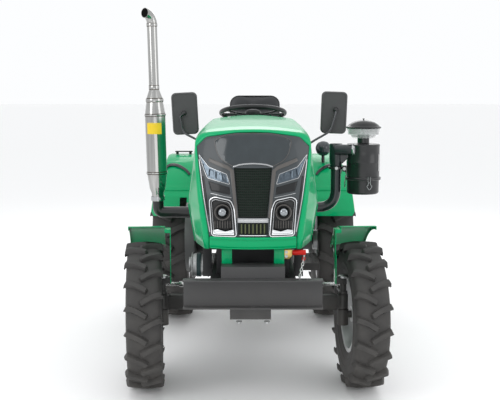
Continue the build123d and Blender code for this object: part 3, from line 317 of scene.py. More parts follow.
bolts = bolt_tree()
bolt_zinc = finish_of("bolt_zinc", (0.42, 0.43, 0.43), 0.35, metal=1.0)
front_axle_y = -0.795
bumper_back_y = front_axle_y - 0.425
low_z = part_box("front_bumper")[0].z
bolted(
    "towing_plate_bolts",
    [((x, bumper_back_y - 0.030, low_z - 0.001), (0, 0, -1)) for x in (-0.06, 0.06)],
    0.009, "chassis", bolt_zinc,
)
rail_top_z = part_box("frame_rails")[1].z
bolted(
    "rail_bolts",
    [((side * 0.1905, y, rail_top_z - drop), (side, 0, 0)) for side in (1, -1)
     for y in (-1.17, -1.09, -0.52, -0.44, -0.22) for drop in (0.075, 0.028)],
    0.008, "chassis", bolt_zinc,
)

# ---------------------------------------------------------------- front axle, knuckles and tie rod
# A welded beam carries a steel kingpin sleeve at each end.  The cast knuckles swing on the pins and
# a zinc-plated rod with ball ends ties their arms together.
def circle_angles(count):
    """Even angles round a full circle."""
    return [2 * pi * i / count for i in range(count)]


def lathed(profile, origin, axis, segments=64):
    """A bmesh turned about an axis; the profile is (along, radius), closed on the axis."""
    form = bmesh.new()
    aim = Vector(axis).to_track_quat("Z", "Y").to_matrix().to_4x4()
    turn = Matrix.Translation(Vector(origin)) @ aim
    rings = []
    for along, radius in profile:
        if radius < 1e-6:
            rings.append([form.verts.new(turn @ Vector((0, 0, along)))])
            continue
        rings.append([form.verts.new(turn @ Vector((radius * cos(a), radius * sin(a), along)))
                      for a in circle_angles(segments)])
    for near, far in zip(rings, rings[1:]):
        for i in range(segments):
            k = (i + 1) % segments
            if len(near) == 1 and len(far) > 1:
                form.faces.new((near[0], far[k], far[i]))
            elif len(far) == 1 and len(near) > 1:
                form.faces.new((near[i], near[k], far[0]))
            elif len(near) > 1:
                form.faces.new((near[i], near[k], far[k], far[i]))
    bmesh.ops.recalc_face_normals(form, faces=form.faces)
    return form


rod_zinc = finish_of("rod_zinc", (0.62, 0.63, 0.62), 0.25, metal=1.0, grain=0.08)
dressed("front_axle", chassis_black, 0.002)
sides = ((1, "left"), (-1, "right"))
for _, side_name in sides:
    dressed("knuckle_" + side_name, chassis_black, 0.0015)
dressed("tie_rod", rod_zinc, 0.001)
kingpin_x = 0.43
cap_profile = [(0, 0.0), (0, 0.021), (0.004, 0.024), (0.010, 0.024), (0.013, 0.019), (0.014, 0.0)]
for side, side_name in sides:
    top_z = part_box("knuckle_" + side_name)[1].z
    cap = lathed(cap_profile, (side * kingpin_x, front_axle_y, top_z - 0.004), (0, 0, 1), 32)
    piece_from(cap, "kingpin_cap_" + side_name, bolt_zinc, "zinc", "knuckle_" + side_name)

# ---------------------------------------------------------------- wheels
# Bias-ply farm tyres of carbon-black rubber.  Their bars run from each shoulder to past the
# middle, half a step apart, over a smooth carcass with moulded sidewall rings, and they sit on
# pressed steel rims with a ring of nuts round the hub.
def bridged(form, rings, ends=False):
    """Faces between rings of points, one after another; the first and last are filled if asked."""
    for near, far in zip(rings, rings[1:]):
        for i in range(len(near)):
            k = (i + 1) % len(near)
            form.faces.new((near[i], near[k], far[k], far[i]))
    if ends:
        form.faces.new(list(reversed(rings[0])))
        form.faces.new(rings[-1])
    bmesh.ops.recalc_face_normals(form, faces=form.faces)
    return form


def curve_through(points, steps):
    """A smooth run of points through the given ones."""
    run = []
    for i in range(len(points) - 1):
        before = Vector(points[max(i - 1, 0)])
        start, end = Vector(points[i]), Vector(points[i + 1])
        after = Vector(points[min(i + 2, len(points) - 1)])
        for k in range(steps):
            t = k / steps
            run.append(0.5 * (
                2 * start + (end - before) * t
                + (2 * before - 5 * start + 4 * end - after) * t * t
                + (3 * start - before - 3 * end + after) * t ** 3
            ))
    run.append(Vector(points[-1]))
    return run


def carcass(w):
    """The casing without its bars, turned about the X axis."""
    half, bead_r, tyre_r = w["width"] / 2, w["bead_r"], w["radius"]
    tread_r = tyre_r - w["bar_h"]
    wall = tyre_r - bead_r
    outer = [
        (0.0, tread_r), (0.55 * half, tread_r - 0.003), (0.84 * half, tread_r - 0.011),
        (0.965 * half, tread_r - 0.028), (0.995 * half, bead_r + 0.56 * wall),
        (0.975 * half, bead_r + 0.38 * wall), (0.90 * half, bead_r + 0.2 * wall),
        (w["bead_half"] + 0.004, bead_r + 0.018),
    ]
    right = [(p.x, p.y) for p in curve_through([(*p, 0.0) for p in outer], 5)]
    rings = []
    for u, r in right:
        share = (r - bead_r) / wall
        rib = 0.0022 if 0.24 < share < 0.3 or 0.44 < share < 0.48 else 0.0
        rings.append((u + rib, r))
    right = rings + [(w["bead_half"] + 0.001, bead_r + 0.012),
                     (w["bead_half"] + 0.0005, bead_r + 0.001)]
    left = [(-u, r) for u, r in reversed(right[1:])]
    loop = [(-w["bead_half"], bead_r + 0.0005)] + left + right + [(w["bead_half"], bead_r + 0.0005)]
    form = bmesh.new()
    rings = [[form.verts.new((u, r * cos(a), r * sin(a))) for a in circle_angles(96)]
             for u, r in loop]
    return bridged(form, rings + rings[:1])


def tread_bar(w, side):
    """One bar of the tread at the top of the wheel, from past the middle to down the shoulder."""
    half, tyre_r, bar_w, bar_h = w["width"] / 2, w["radius"], w["bar_w"], w["bar_h"]
    overlap = bar_overlap * half
    length = (half + overlap) / cos(bar_slant) - 0.5 * bar_w * sin(bar_slant)
    stations = [  # share of the way out, share of full height, share of full width
        (-0.035, 0.0, 1.06), (0.0, 0.82, 0.9), (0.03, 0.97, 0.98), (0.25, 1.0, 1.0),
        (0.5, 1.0, 1.0), (0.75, 1.0, 1.02), (0.93, 0.99, 1.06), (0.985, 0.9, 1.08),
        (1.005, 0.62, 1.1), (1.01, 0.2, 1.1), (0.99, -0.55, 1.04),
    ]
    section = [(-0.62, 0.0), (-0.56, 0.3), (-0.43, 0.9), (-0.36, 1.0)]  # across, up
    section += [(-across, up) for across, up in reversed(section)]
    form = bmesh.new()
    rows = []
    for out, high, wide in stations:
        u = -overlap + (half + overlap) * out
        s = sin(bar_slant) * length * (out - 0.5) + 0.006 * sin(pi * out)
        crown = 0.0015 + 0.0075 * max(u / half, 0) ** 2
        base_r = tyre_r - bar_h - 0.007 - crown
        top_r = base_r + (bar_h + 0.007) * high
        row = []
        for across, up in section:
            r = base_r + (top_r - base_r) * up if high > 0 else base_r + bar_h * high + 0.004 * up
            shift = across * bar_w * wide
            place_u = u - sin(bar_slant) * shift * 0.9
            angle = (s + cos(bar_slant) * shift) / tyre_r
            row.append(form.verts.new((side * place_u, r * sin(angle), r * cos(angle))))
        rows.append(row)
    return mesh_of(bridged(form, rows, True), "tread_bar")


def ring_tree():
    """Repeats its mesh in even steps about the X axis, from a first angle."""
    tree, given = started_tree("round_the_axle", (("Form", "Geometry"), ("Count", "Int"),
                                                  ("First Angle", "Float")), "Ring")
    places = joined(tree, "GeometryNodePoints", {"Count": given["Count"]})["Points"]
    index = joined(tree, "GeometryNodeInputIndex", {})["Index"]
    step = joined(tree, "ShaderNodeMath", {0: 2 * pi, 1: given["Count"]}, operation="DIVIDE")[0]
    turn = joined(tree, "ShaderNodeMath", {0: index, 1: step, 2: given["First Angle"]},
                  operation="MULTIPLY_ADD")[0]
    aim = joined(tree, "ShaderNodeCombineXYZ", {"X": turn})["Vector"]
    return ended(tree, given, copies(tree, places, given["Form"], aim))


def ringed(form_mesh, count, first, finish):
    """A mesh repeated about the X axis by the tree."""
    settings = {"Count": count, "First Angle": first, "Finish": finish}
    return grown_mesh(form_mesh, axle_ring, settings, "ring")


def wheel_place(w, side):
    """Where a wheel's own frame stands at rest: mirrored on the right, the front ones steered."""
    hub = Matrix.Translation((side * w["half_track"], w["axle_y"], w["axle_z"]))
    flip = Matrix.Scale(-1, 4, (1, 0, 0)) if side < 0 else Matrix.Identity(4)
    if w["end"] == "rear":
        return hub @ flip
    pin = Vector((side * kingpin_x, w["axle_y"], 0))
    swing = Matrix.Translation(pin) @ Matrix.Rotation(rest_steer, 4, "Z") @ Matrix.Translation(-pin)
    return swing @ hub @ flip


axle_ring = ring_tree()
rear_axle_y = 0.655
rest_steer = radians(5)      # the front wheels stand a little turned
bar_slant = radians(28)
bar_overlap = 0.16           # how far a bar runs past the middle, as a share of half the width
tyre_rubber = finish_of("tyre_rubber", (0.040, 0.039, 0.039), 0.6, mottle=0.22, mottle_size=0.06,
                        grain=0.5, grain_size=0.0022, dust=0.12, dust_top=0.9, sheen=0.3)
rim_paint = finish_of("rim_paint", (0.60, 0.61, 0.62), 0.32, metal=0.6, coat=0.3, dust=0.4)
wheel_columns = ("end", "half_track", "axle_y", "axle_z", "radius", "width", "bead_r", "bead_half",
                 "bars", "bar_w", "bar_h", "hub_r", "hub_out", "disc_u")
wheel_table = [
    ("front", 0.515, front_axle_y, 0.350, 0.350, 0.162, 0.168, 0.062, 18, 0.028, 0.022,
     0.040, 0.050, 0.018),
    ("rear", 0.487, rear_axle_y, 0.472, 0.472, 0.210, 0.262, 0.078, 16, 0.040, 0.030,
     0.062, 0.034, -0.006),
]
for row in wheel_table:
    w = dict(zip(wheel_columns, row))
    half = w["width"] / 2
    bar_l = half * (1 + bar_overlap) / cos(bar_slant) - 0.5 * w["bar_w"] * sin(bar_slant)
    reach = sin(bar_slant) * bar_l / 2 + 0.36 * w["bar_w"] * cos(bar_slant)
    standing = -pi / 2 - atan2(sqrt(w["radius"] ** 2 - reach ** 2), -reach)
    for side, side_name in sides:
        form = carcass(w)
        for bar_side, half_step in ((1, 0.0), (-1, 0.5)):
            first = standing + 2 * pi * half_step / w["bars"]
            form.from_mesh(ringed(tread_bar(w, bar_side), w["bars"], first, tyre_rubber))
        bmesh.ops.transform(form, matrix=wheel_place(w, side), verts=form.verts)
        if side < 0:
            bmesh.ops.reverse_faces(form, faces=form.faces)
        body = f"wheel_{w['end']}_{side_name}"
        tyre = piece_from(form, f"farm_tyre_{w['end']}_{side_name}", tyre_rubber, "tyre", body, 36)
        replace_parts(tyre, f"tyre_{w['end']}_{side_name}")
        dressed(f"rim_{w['end']}_{side_name}", rim_paint, 0.0012)
        place = wheel_place(w, side)
        out = (place.to_3x3() @ Vector((1, 0, 0))).normalized()
        nut_r = w["hub_r"] + 0.022
        nuts = [(place @ Vector((w["disc_u"] + 0.006, nut_r * cos(a), nut_r * sin(a))), out)
                for a in circle_angles(6)]
        bolted(f"wheel_nuts_{w['end']}_{side_name}", nuts, 0.0105, body, bolt_zinc)
        cap_profile = [(0.0, 0.0), (0.0, w["hub_r"] * 0.72), (0.006, w["hub_r"] * 0.72),
                       (0.011, w["hub_r"] * 0.62), (0.012, 0.0)]
        cap = lathed(cap_profile, place @ Vector((w["hub_out"] - 0.001, 0, 0)), out, 40)
        piece_from(cap, f"hub_cap_{w['end']}_{side_name}", chassis_black, "black_paint", body)

# ---------------------------------------------------------------- radiator, engine and gearbox
# A single-cylinder diesel sits in the rails behind a finned radiator.  Its cast block, flywheel,
# belts and the cast transmission show from the sides and from below.
engine_cast = finish_of("engine_cast", (0.16, 0.165, 0.165), 0.6, metal=0.2, grain=0.7,
                        grain_size=0.003, dust=0.3)
belt_rubber = finish_of("belt_rubber", (0.018, 0.018, 0.018), 0.7, grain=0.4)
alternator_alloy = finish_of("alternator_alloy", (0.36, 0.37, 0.37), 0.42, metal=0.9, grain=0.5,
                             grain_size=0.002)
dressed("radiator", chassis_black, 0.0015)
for node in ("engine_block", "belt_pulleys", "transmission"):
    dressed(node, engine_cast, 0.002)
dressed("drive_belts", belt_rubber, 0.0008)
dressed("alternator", alternator_alloy, 0.001)
alternator_low, alternator_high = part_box("alternator")
alternator_mid = (alternator_low + alternator_high) / 2
body_r = (alternator_high.z - alternator_low.z) / 2
band_teal = finish_of("band_teal", (0.012, 0.035, 0.036), 0.4, grain=0.2)
for along, wide, proud, finish, name in (
    (-0.010, 0.020, 0.0012, band_teal, "alternator_core"),
    (-0.042, 0.004, 0.0030, alternator_alloy, "alternator_flange"),
    (0.034, 0.004, 0.0030, alternator_alloy, "alternator_rear_flange"),
):
    near, far = along - wide / 2, along + wide / 2
    ring_run = [(near, 0.020), (near, body_r + proud), (far, body_r + proud), (far, 0.020),
                (near, 0.020)]
    band = lathed(ring_run, alternator_mid, (1, 0, 0), 40)
    piece_from(band, name, finish, "aluminium", "chassis", 30)
dressed("drawbar", chassis_black, 0.0015)

# ---------------------------------------------------------------- hood and its side panels
# Pressed steel panels in glossy green enamel: the tilting hood, whose sides fold in below the
# belt line and wrap to the nose, a chin under the mask and two fixed lower panels behind.
def gloss_enamel(name, colour, dust=0.0):
    """Sprayed enamel under clear lacquer: slight orange peel and soft shifts of colour."""
    paint = finish_of(name, colour, 0.3, coat=0.3, mottle=0.05, mottle_size=0.35,
                      grain=0.06, grain_size=0.006, dust=dust, sheen=0.06)
    paint.node_tree.nodes["Principled BSDF"].inputs["Coat Roughness"].default_value = 0.04
    return paint


green_enamel = gloss_enamel("green_enamel", (0.0, 0.34, 0.125))
dressed("hood_posts", green_enamel, 0.001)
hood_columns = ("y", "bottom", "belt", "shoulder", "corner", "corner_z", "crest_z")
hood_table = [
    (-1.225, 0.190, 0.204, 0.249, 0.205, 1.214, 1.238),
    (-0.945, 0.268, 0.300, 0.262, 0.218, 1.243, 1.262),
    (-0.495, 0.264, 0.294, 0.262, 0.216, 1.254, 1.275),
    (-0.098, 0.258, 0.280, 0.258, 0.212, 1.256, 1.277),
]
hood_bottom_z, belt_z, shoulder_z = 0.730, 0.912, 1.178
hood_split_y = -0.940
nose_arc = ((-1.183, 0.650), (-1.196, 0.880), (-1.091, 1.300))
nose_turn_y = front_axle_y + 0.119


def arc_centre(a, b, c):
    """Centre and radius of the circle through three points of a plane."""
    d = 2 * (a[0] * (b[1] - c[1]) + b[0] * (c[1] - a[1]) + c[0] * (a[1] - b[1]))
    squares = [p[0] ** 2 + p[1] ** 2 for p in (a, b, c)]
    x = (squares[0] * (b[1] - c[1]) + squares[1] * (c[1] - a[1]) + squares[2] * (a[1] - b[1])) / d
    y = (squares[0] * (c[0] - b[0]) + squares[1] * (a[0] - c[0]) + squares[2] * (b[0] - a[0])) / d
    return x, y, sqrt((a[0] - x) ** 2 + (a[1] - y) ** 2)


nose_y, nose_z, nose_r = arc_centre(*nose_arc)


def on_nose(x, z):
    """How far forward the bowed, leaning face of the nose is at a point seen from the front."""
    profile_y = nose_y - sqrt(nose_r ** 2 - (z - nose_z) ** 2)
    return nose_turn_y - sqrt((nose_turn_y - profile_y) ** 2 - x ** 2)


def hood_values(y):
    """The section's sizes at a place along the hood, eased over the rows of its table."""
    found = []
    for shift in (-0.06, -0.03, 0.0, 0.03, 0.06):
        at = min(max(y + shift, hood_table[0][0]), hood_table[-1][0])
        row = next(i for i in range(3) if at <= hood_table[i + 1][0])
        near, far = hood_table[row], hood_table[row + 1]
        share = (at - near[0]) / (far[0] - near[0])
        found.append([a + (b - a) * share for a, b in zip(near, far)])
    return dict(zip(hood_columns, (sum(column) / 5 for column in zip(*found))))


def arc_run(start, middle, end, steps):
    """Points along the arc through three points, without the last."""
    x, y, r = arc_centre(start, middle, end)
    first, last = atan2(start[1] - y, start[0] - x), atan2(end[1] - y, end[0] - x)
    angles = [first + (last - first) * i / steps for i in range(steps)]
    return [(x + r * cos(a), y + r * sin(a)) for a in angles]


def hood_half(y):
    """(x, z) of one side, from the bottom edge up over the shoulder to the crest."""
    s = hood_values(y)
    taper = (s["belt"] - s["bottom"]) / (belt_z - hood_bottom_z)
    low = [(s["bottom"] + taper * (z - hood_bottom_z), z)
           for z in (0.73, 0.775, 0.82, 0.865, 0.893, 0.905)]
    rise = (s["shoulder"] - s["belt"]) / (shoulder_z - belt_z)
    side = [(s["belt"] + rise * (z - belt_z), z) for z in (0.922, 0.934, 0.98, 1.04, 1.10, 1.15)]
    side[0] = (side[0][0] - 0.0012, side[0][1])
    low[-1] = (low[-1][0] - 0.0004, low[-1][1])
    belt = [(s["belt"] - 0.0022, belt_z)]
    shoulder, corner = (s["shoulder"], shoulder_z), (s["corner"], s["corner_z"])
    bulge = ((shoulder[0] + corner[0]) / 2 + 0.009, (shoulder[1] + corner[1]) / 2 + 0.009)
    crest = (0.0, s["crest_z"])
    roof = arc_run(corner, crest, (-corner[0], corner[1]), 24)[:13]
    return low + belt + side + arc_run(shoulder, bulge, corner, 7) + roof


def hood_row(y):
    """The whole section at a place along the hood, from one bottom edge to the other."""
    half = hood_half(y)
    return half + [(-x, z) for x, z in reversed(half[:-1])]


mask_half = ((0.190, 0.788), (0.226, 1.010), (0.246, 1.172), (0.205, 1.213), (0.070, 1.233),
             (0.0, 1.2345))


def mask_side(x, z):
    """The point of the mask's outline that a point on the hood's front edge faces."""
    flip, x = (-1, -x) if x < 0 else (1, x)
    if z <= mask_half[0][1]:
        return flip * 0.1905, z
    if z <= 1.172:
        (low_x, low_z), (high_x, high_z) = next(
            pair for pair in zip(mask_half, mask_half[1:]) if z <= pair[1][1] + 1e-9
        )
        return flip * (low_x + (high_x - low_x) * (z - low_z) / (high_z - low_z)), z
    if x > 0.2:
        share = min(1.0, max(0.0, (0.2535 - x) / 0.05))
        return flip * (0.246 - 0.041 * share), 1.172 + 0.041 * share
    (far_x, far_z), (near_x, near_z) = next(pair for pair in zip(mask_half[3:], mask_half[4:])
                                            if x >= pair[1][0] - 1e-9)
    return flip * x, near_z + (far_z - near_z) * (x - near_x) / max(far_x - near_x, 1e-6)


def hood_grid(first_y, last_y, rows, keep, to_nose):
    """A skin through the sections; with to_nose it starts at the mask and rounds its cheeks."""
    form = bmesh.new()
    count = len(hood_row(last_y))
    columns = []
    for k in range(count):
        start = first_y
        column = []
        if to_nose:
            for _ in range(8):
                x, z = hood_row(start)[k]
                start = on_nose(x, z) + 0.014
            edge_x, edge_z = mask_side(x, z)
            column.append((edge_x, on_nose(edge_x, edge_z) + 0.005, edge_z))
            for share, back in ((0.25, 0.0015), (0.6, 0.002), (0.88, 0.006)):
                mid_x, mid_z = edge_x + (x - edge_x) * share, edge_z + (z - edge_z) * share
                column.append((mid_x, on_nose(mid_x, mid_z) + back, mid_z))
        for i in range(rows + 1):
            y = start + (last_y - start) * (i / rows) ** (1.25 if to_nose else 1.0)
            x, z = hood_row(y)[k]
            column.append((x, y, z))
        columns.append([form.verts.new(place) for place in column])
    for k, (near, far) in enumerate(zip(columns, columns[1:])):
        if keep(k, count):
            for i in range(len(near) - 1):
                form.faces.new((near[i], far[i], far[i + 1], near[i + 1]))
    return form


def thick_skin(form, name, finish, slot, body, wall, crease=40):
    """A panel with a wall drawn inwards and folded edges."""
    bmesh.ops.recalc_face_normals(form, faces=form.faces)
    piece = piece_from(form, name, finish, slot, body, crease)
    wall_maker = piece.modifiers.new("wall", "SOLIDIFY")
    wall_maker.thickness = wall
    wall_maker.offset = -1.0
    wall_maker.use_even_offset = True
    return piece


low_rows = 5
front_skin = hood_grid(-1.19, hood_split_y, 16, lambda k, n: True, True)
rear_skin = hood_grid(hood_split_y, hood_table[-1][0], 16,
                      lambda k, n: low_rows <= k < n - 1 - low_rows, False)
front_skin.from_mesh(mesh_of(rear_skin, "hood_rear"))
bmesh.ops.remove_doubles(front_skin, verts=front_skin.verts, dist=2e-5)
loose = [v for v in front_skin.verts if not v.link_faces]
bmesh.ops.delete(front_skin, geom=loose, context="VERTS")
middle_up = sum((f.normal.z for f in front_skin.faces if f.calc_center_median().z > 1.2), 0.0)
if middle_up < 0:
    bmesh.ops.reverse_faces(front_skin, faces=front_skin.faces)
hood_skin = thick_skin(front_skin, "hood_skin", green_enamel, "green_paint", "hood", 0.0035)
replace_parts(hood_skin, "hood_shell")


def painted_beyond(piece, finish, chosen):
    """Gives the faces whose middles are chosen a second finish."""
    piece.data.materials.append(finish)
    for face in piece.data.polygons:
        if chosen(face.center):
            face.material_index = 1


lower_panels = dressed("side_panels", green_enamel, 0.0008)
painted_beyond(lower_panels, chassis_black, lambda middle: middle.z < hood_bottom_z - 0.0045)


def nose_plate(outlines, proud, depth, edge=0.001, pitch=0.012):
    """A plate on the nose's face, from closed outlines seen from the front, as a bmesh."""
    form = bmesh.new()
    for outline in outlines:
        form.faces.new([form.verts.new((x, 0.0, z)) for x, z in outline])
    bmesh.ops.remove_doubles(form, verts=form.verts, dist=1e-6)
    lows = [min(v.co[axis] for v in form.verts) for axis in (0, 2)]
    highs = [max(v.co[axis] for v in form.verts) for axis in (0, 2)]
    for axis, low, high in zip((0, 2), lows, highs):
        cuts = ceil((high - low) / (pitch * (1 if axis == 0 else 2)))
        direction = Vector((1, 0, 0)) if axis == 0 else Vector((0, 0, 1))
        for i in range(1, cuts):
            at = direction * (low + (high - low) * i / cuts)
            geometry = form.verts[:] + form.edges[:] + form.faces[:]
            bmesh.ops.bisect_plane(form, geom=geometry, plane_co=at, plane_no=direction)
    back = bmesh.ops.extrude_face_region(form, geom=form.faces[:])
    moved = {v for v in back["geom"] if isinstance(v, bmesh.types.BMVert)}
    for v in form.verts:
        v.co.y = on_nose(v.co.x, v.co.z) - proud + (depth if v not in moved else 0.0)
    bmesh.ops.recalc_face_normals(form, faces=form.faces)
    if edge:
        rim = [e for e in form.edges if len(e.link_faces) == 2 and e.calc_face_angle() > radians(50)
               and all(v in moved for v in e.verts)]
        bmesh.ops.bevel(form, geom=rim, offset=edge, segments=2, profile=0.5, affect="EDGES",
                        clamp_overlap=True)
    return form


def rounded_outline(points, radius, steps=4):
    """A closed outline with its corners rounded."""
    made = []
    count = len(points)
    for i in range(count):
        here = Vector(points[i])
        before, after = Vector(points[i - 1]), Vector(points[(i + 1) % count])
        reach = min(radius, (before - here).length * 0.45, (after - here).length * 0.45)
        start = here + (before - here).normalized() * reach
        end = here + (after - here).normalized() * reach
        for k in range(steps + 1):
            t = k / steps
            made.append(tuple((1 - t) ** 2 * start + 2 * t * (1 - t) * here + t * t * end))
    return made


def crosswise(half, low, high):
    """The corners of a panel across the nose."""
    return [(half, low), (half, high), (-half, high), (-half, low)]


chin_outline = rounded_outline(crosswise(0.189, 0.7335, 0.787), 0.005, 3)
chin = nose_plate([chin_outline], 0.0035, 0.012, 0.0025, 0.006)
for v in chin.verts:
    v.co.y -= 0.005 * max(0.0, (v.co.z - 0.772) / 0.015) ** 2
    v.co.y += 0.008 * max(0.0, (0.752 - v.co.z) / 0.018) ** 2
piece_from(chin, "chin_panel", green_enamel, "green_paint", "hood", 50)
for name, low_z, high_z, proud in (("chin_top_lip", 0.7770, 0.7862, 0.0100),
                                   ("chin_low_lip", 0.7345, 0.7395, 0.0055)):
    lip_outline = rounded_outline(crosswise(0.187, low_z, high_z), 0.0022, 2)
    piece_from(nose_plate([lip_outline], proud, 0.008, 0.0022, 0.006), name, green_enamel,
               "green_paint", "hood", 50)

hinge_x, hinge_y, hinge_z = 0.12, -0.095, 1.281
hinge_half, hinge_r = 0.018, 0.007
hinge_profile = [(0.0, 0.0), (0.0, hinge_r), (2 * hinge_half, hinge_r), (2 * hinge_half, 0.0)]
hinge_ends = [(side * hinge_x - hinge_half, hinge_y, hinge_z) for side in (1, -1)]
hinges = form_of(*(mesh_of(lathed(hinge_profile, end, (1, 0, 0), 20), "hinge")
                   for end in hinge_ends))
piece_from(hinges, "hood_hinges", chassis_black, "black_paint", "hood", 40)

# ---------------------------------------------------------------- mask, grille and lamps
# A moulded graphite mask is clipped to the nose.  It carries a gloss visor, the grille over the
# radiator and the lamps, which sit in black housings edged with bright trim.
mask_graphite = finish_of("mask_graphite", (0.038, 0.046, 0.051), 0.36, coat=0.25, grain=0.35,
                          grain_size=0.0012)
rib_graphite = finish_of("rib_graphite", (0.080, 0.074, 0.069), 0.32, coat=0.4, grain=0.25,
                         grain_size=0.0012)
gloss_black = finish_of("gloss_black", (0.016, 0.025, 0.030), 0.12, coat=0.6, mottle=0.3,
                        mottle_size=0.05, grain=0.04)
grille_black = finish_of("grille_black", (0.012, 0.018, 0.014), 0.5, grain=0.3, sheen=0.2)
mesh_green = finish_of("mesh_green", (0.012, 0.040, 0.024), 0.4, metal=0.3, grain=0.2)
chrome = finish_of("chrome", (0.82, 0.84, 0.86), 0.10, metal=1.0, grain=0.02)
dull_chrome = finish_of("dull_chrome", (0.42, 0.43, 0.44), 0.22, metal=1.0, grain=0.05)
housing_black = finish_of("housing_black", (0.010, 0.011, 0.012), 0.3, coat=0.3, grain=0.15,
                          sheen=0.2)
brow_glass = finish_of("brow_glass", (0.10, 0.125, 0.15), 0.14, metal=1.0, mottle=0.6,
                       mottle_size=0.014, grain=0.1)
lens_glass = finish_of("lens_glass", (0.30, 0.32, 0.34), 0.05, metal=1.0, grain=0.01)

dressed("mask", mask_graphite, 0.0016)
visor_outline = [(0.058, 1.100), (0.082, 1.090), (0.130, 1.113), (0.154, 1.142), (0.170, 1.200),
                 (0.112, 1.226)]
visor_whole = [*visor_outline, (0.0, 1.233), *((-x, z) for x, z in reversed(visor_outline)),
               (0.0, 1.104)]
visor_run = rounded_outline(visor_whole, 0.016)
visor = nose_plate([visor_run], 0.003, 0.003, 0.0012)
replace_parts(piece_from(visor, "visor_panel", gloss_black, "dark_gloss", "hood", 30), "visor")
dressed("grille", grille_black, 0.0006)
dressed("headlamps", housing_black, 0.0012)
dressed("lamp_cores", housing_black, 0.0008)
dressed("brow_lamps", brow_glass, 0.0008)


def strip(points, width):
    """Outlines, one to a run, of a band that follows points seen from the front."""
    line = [Vector(p) for p in points]
    edges = []
    for i, p in enumerate(line):
        along = (line[min(i + 1, len(line) - 1)] - line[max(i - 1, 0)]).normalized()
        across = Vector((-along.y, along.x)) * width / 2
        edges.append((tuple(p + across), tuple(p - across)))
    return [(a[0], b[0], b[1], a[1]) for a, b in zip(edges, edges[1:])]


def ring_strip(points, width):
    """The same round a closed outline."""
    closed = strip([points[-1], *points, points[0], points[1]], width)[1:-1]
    first, last = closed[0], closed[-1]
    closed[-1] = (last[0], first[0], first[3], last[3])
    return closed


def mirrored_too(outline):
    """An outline and its mirror image."""
    return [outline, [(-x, z) for x, z in reversed(outline)]]


def both(outlines):
    """Outlines and their mirror images."""
    return [o for outline in outlines for o in mirrored_too(list(outline))]


trim_pieces = [  # name, outlines, how proud, depth, edge, finish, slot
    ("mask_edge_trim", both(strip([(0.187, 0.806), (0.199, 0.868), (0.2145, 0.960), (0.2275, 1.055),
                                   (0.236, 1.118)], 0.0050)),
     0.0035, 0.005, 0.001, dull_chrome, "lamp"),
    ("mask_edge_inlay", both(strip([(0.196, 0.880), (0.204, 0.945), (0.2125, 1.005),
                                    (0.218, 1.046)], 0.010)),
     0.0012, 0.003, 0.0008, housing_black, "black_plastic"),
    ("mask_ribs", mirrored_too([(0.0655, 0.872), (0.076, 0.872), (0.099, 1.070), (0.112, 1.079),
                                (0.150, 1.092), (0.196, 1.112), (0.190, 1.124),
                                (0.140, 1.106), (0.104, 1.092), (0.083, 1.074)]),
     0.0045, 0.006, 0.0018, rib_graphite, "graphite"),
    ("grille_divider", [rounded_outline(crosswise(0.067, 0.851, 0.871), 0.004)],
     0.006, 0.014, 0.002, dull_chrome, "graphite"),
    ("vent_trim", [[(-0.058, 0.7935), (0.058, 0.7935), (0.058, 0.7968), (-0.058, 0.7968)]],
     0.002, 0.004, 0.0006, chrome, "lamp"),
    ("visor_lip", strip([(-0.086, 1.0895), (-0.060, 1.0985), (-0.03, 1.1025), (0.0, 1.104),
                         (0.03, 1.1025), (0.060, 1.0985), (0.086, 1.0895)], 0.006),
     0.0052, 0.004, 0.001, dull_chrome, "graphite"),
    ("visor_rim", ring_strip(visor_run, 0.0022), 0.0038, 0.003, 0.0005, rib_graphite, "graphite"),
    ("patch_panels", mirrored_too([(0.098, 0.970), (0.180, 0.984), (0.191, 1.024), (0.102, 1.001)]),
     -0.0012, 0.002, 0.0006, housing_black, "black_plastic"),
    ("patch_trim", both(strip([(0.093, 0.958), (0.130, 0.964), (0.184, 0.974)], 0.003)),
     0.002, 0.003, 0.0006, dull_chrome, "lamp"),
]
pod_outline = [(0.0715, 0.7905), (0.1785, 0.7905), (0.1895, 0.946), (0.1675, 0.9595),
               (0.096, 0.9465), (0.0815, 0.913)]
pod_pocket = [(0.084, 0.802), (0.170, 0.802), (0.180, 0.940), (0.164, 0.949), (0.102, 0.938),
              (0.091, 0.908)]
brow_outline = [(0.100, 1.014), (0.198, 1.039), (0.213, 1.072), (0.238, 1.140), (0.193, 1.086),
                (0.114, 1.058)]
for label, outline, width, corner in (("outer", pod_outline, 0.0035, 0.012),
                                      ("inner", pod_pocket, 0.0022, 0.012),
                                      ("brow", brow_outline, 0.003, 0.006)):
    run = rounded_outline(outline, corner, 3)
    trim_pieces.append((f"lamp_trim_{label}", both(ring_strip(run, width)),
                        0.0045 if label != "brow" else 0.002,
                        0.004, 0.0007, chrome if label == "outer" else dull_chrome, "lamp"))
trim_pieces.append(("pod_reflectors", mirrored_too([(0.081, 0.7965), (0.173, 0.7965),
                                                    (0.1745, 0.815), (0.150, 0.819),
                                                    (0.120, 0.811), (0.083, 0.821)]),
                    0.0034, 0.006, 0.001, chrome, "lamp"))
for name, outlines, proud, depth, edge, finish, slot_name in trim_pieces:
    piece_from(nose_plate(outlines, proud, depth, edge), name, finish, slot_name, "hood", 40)


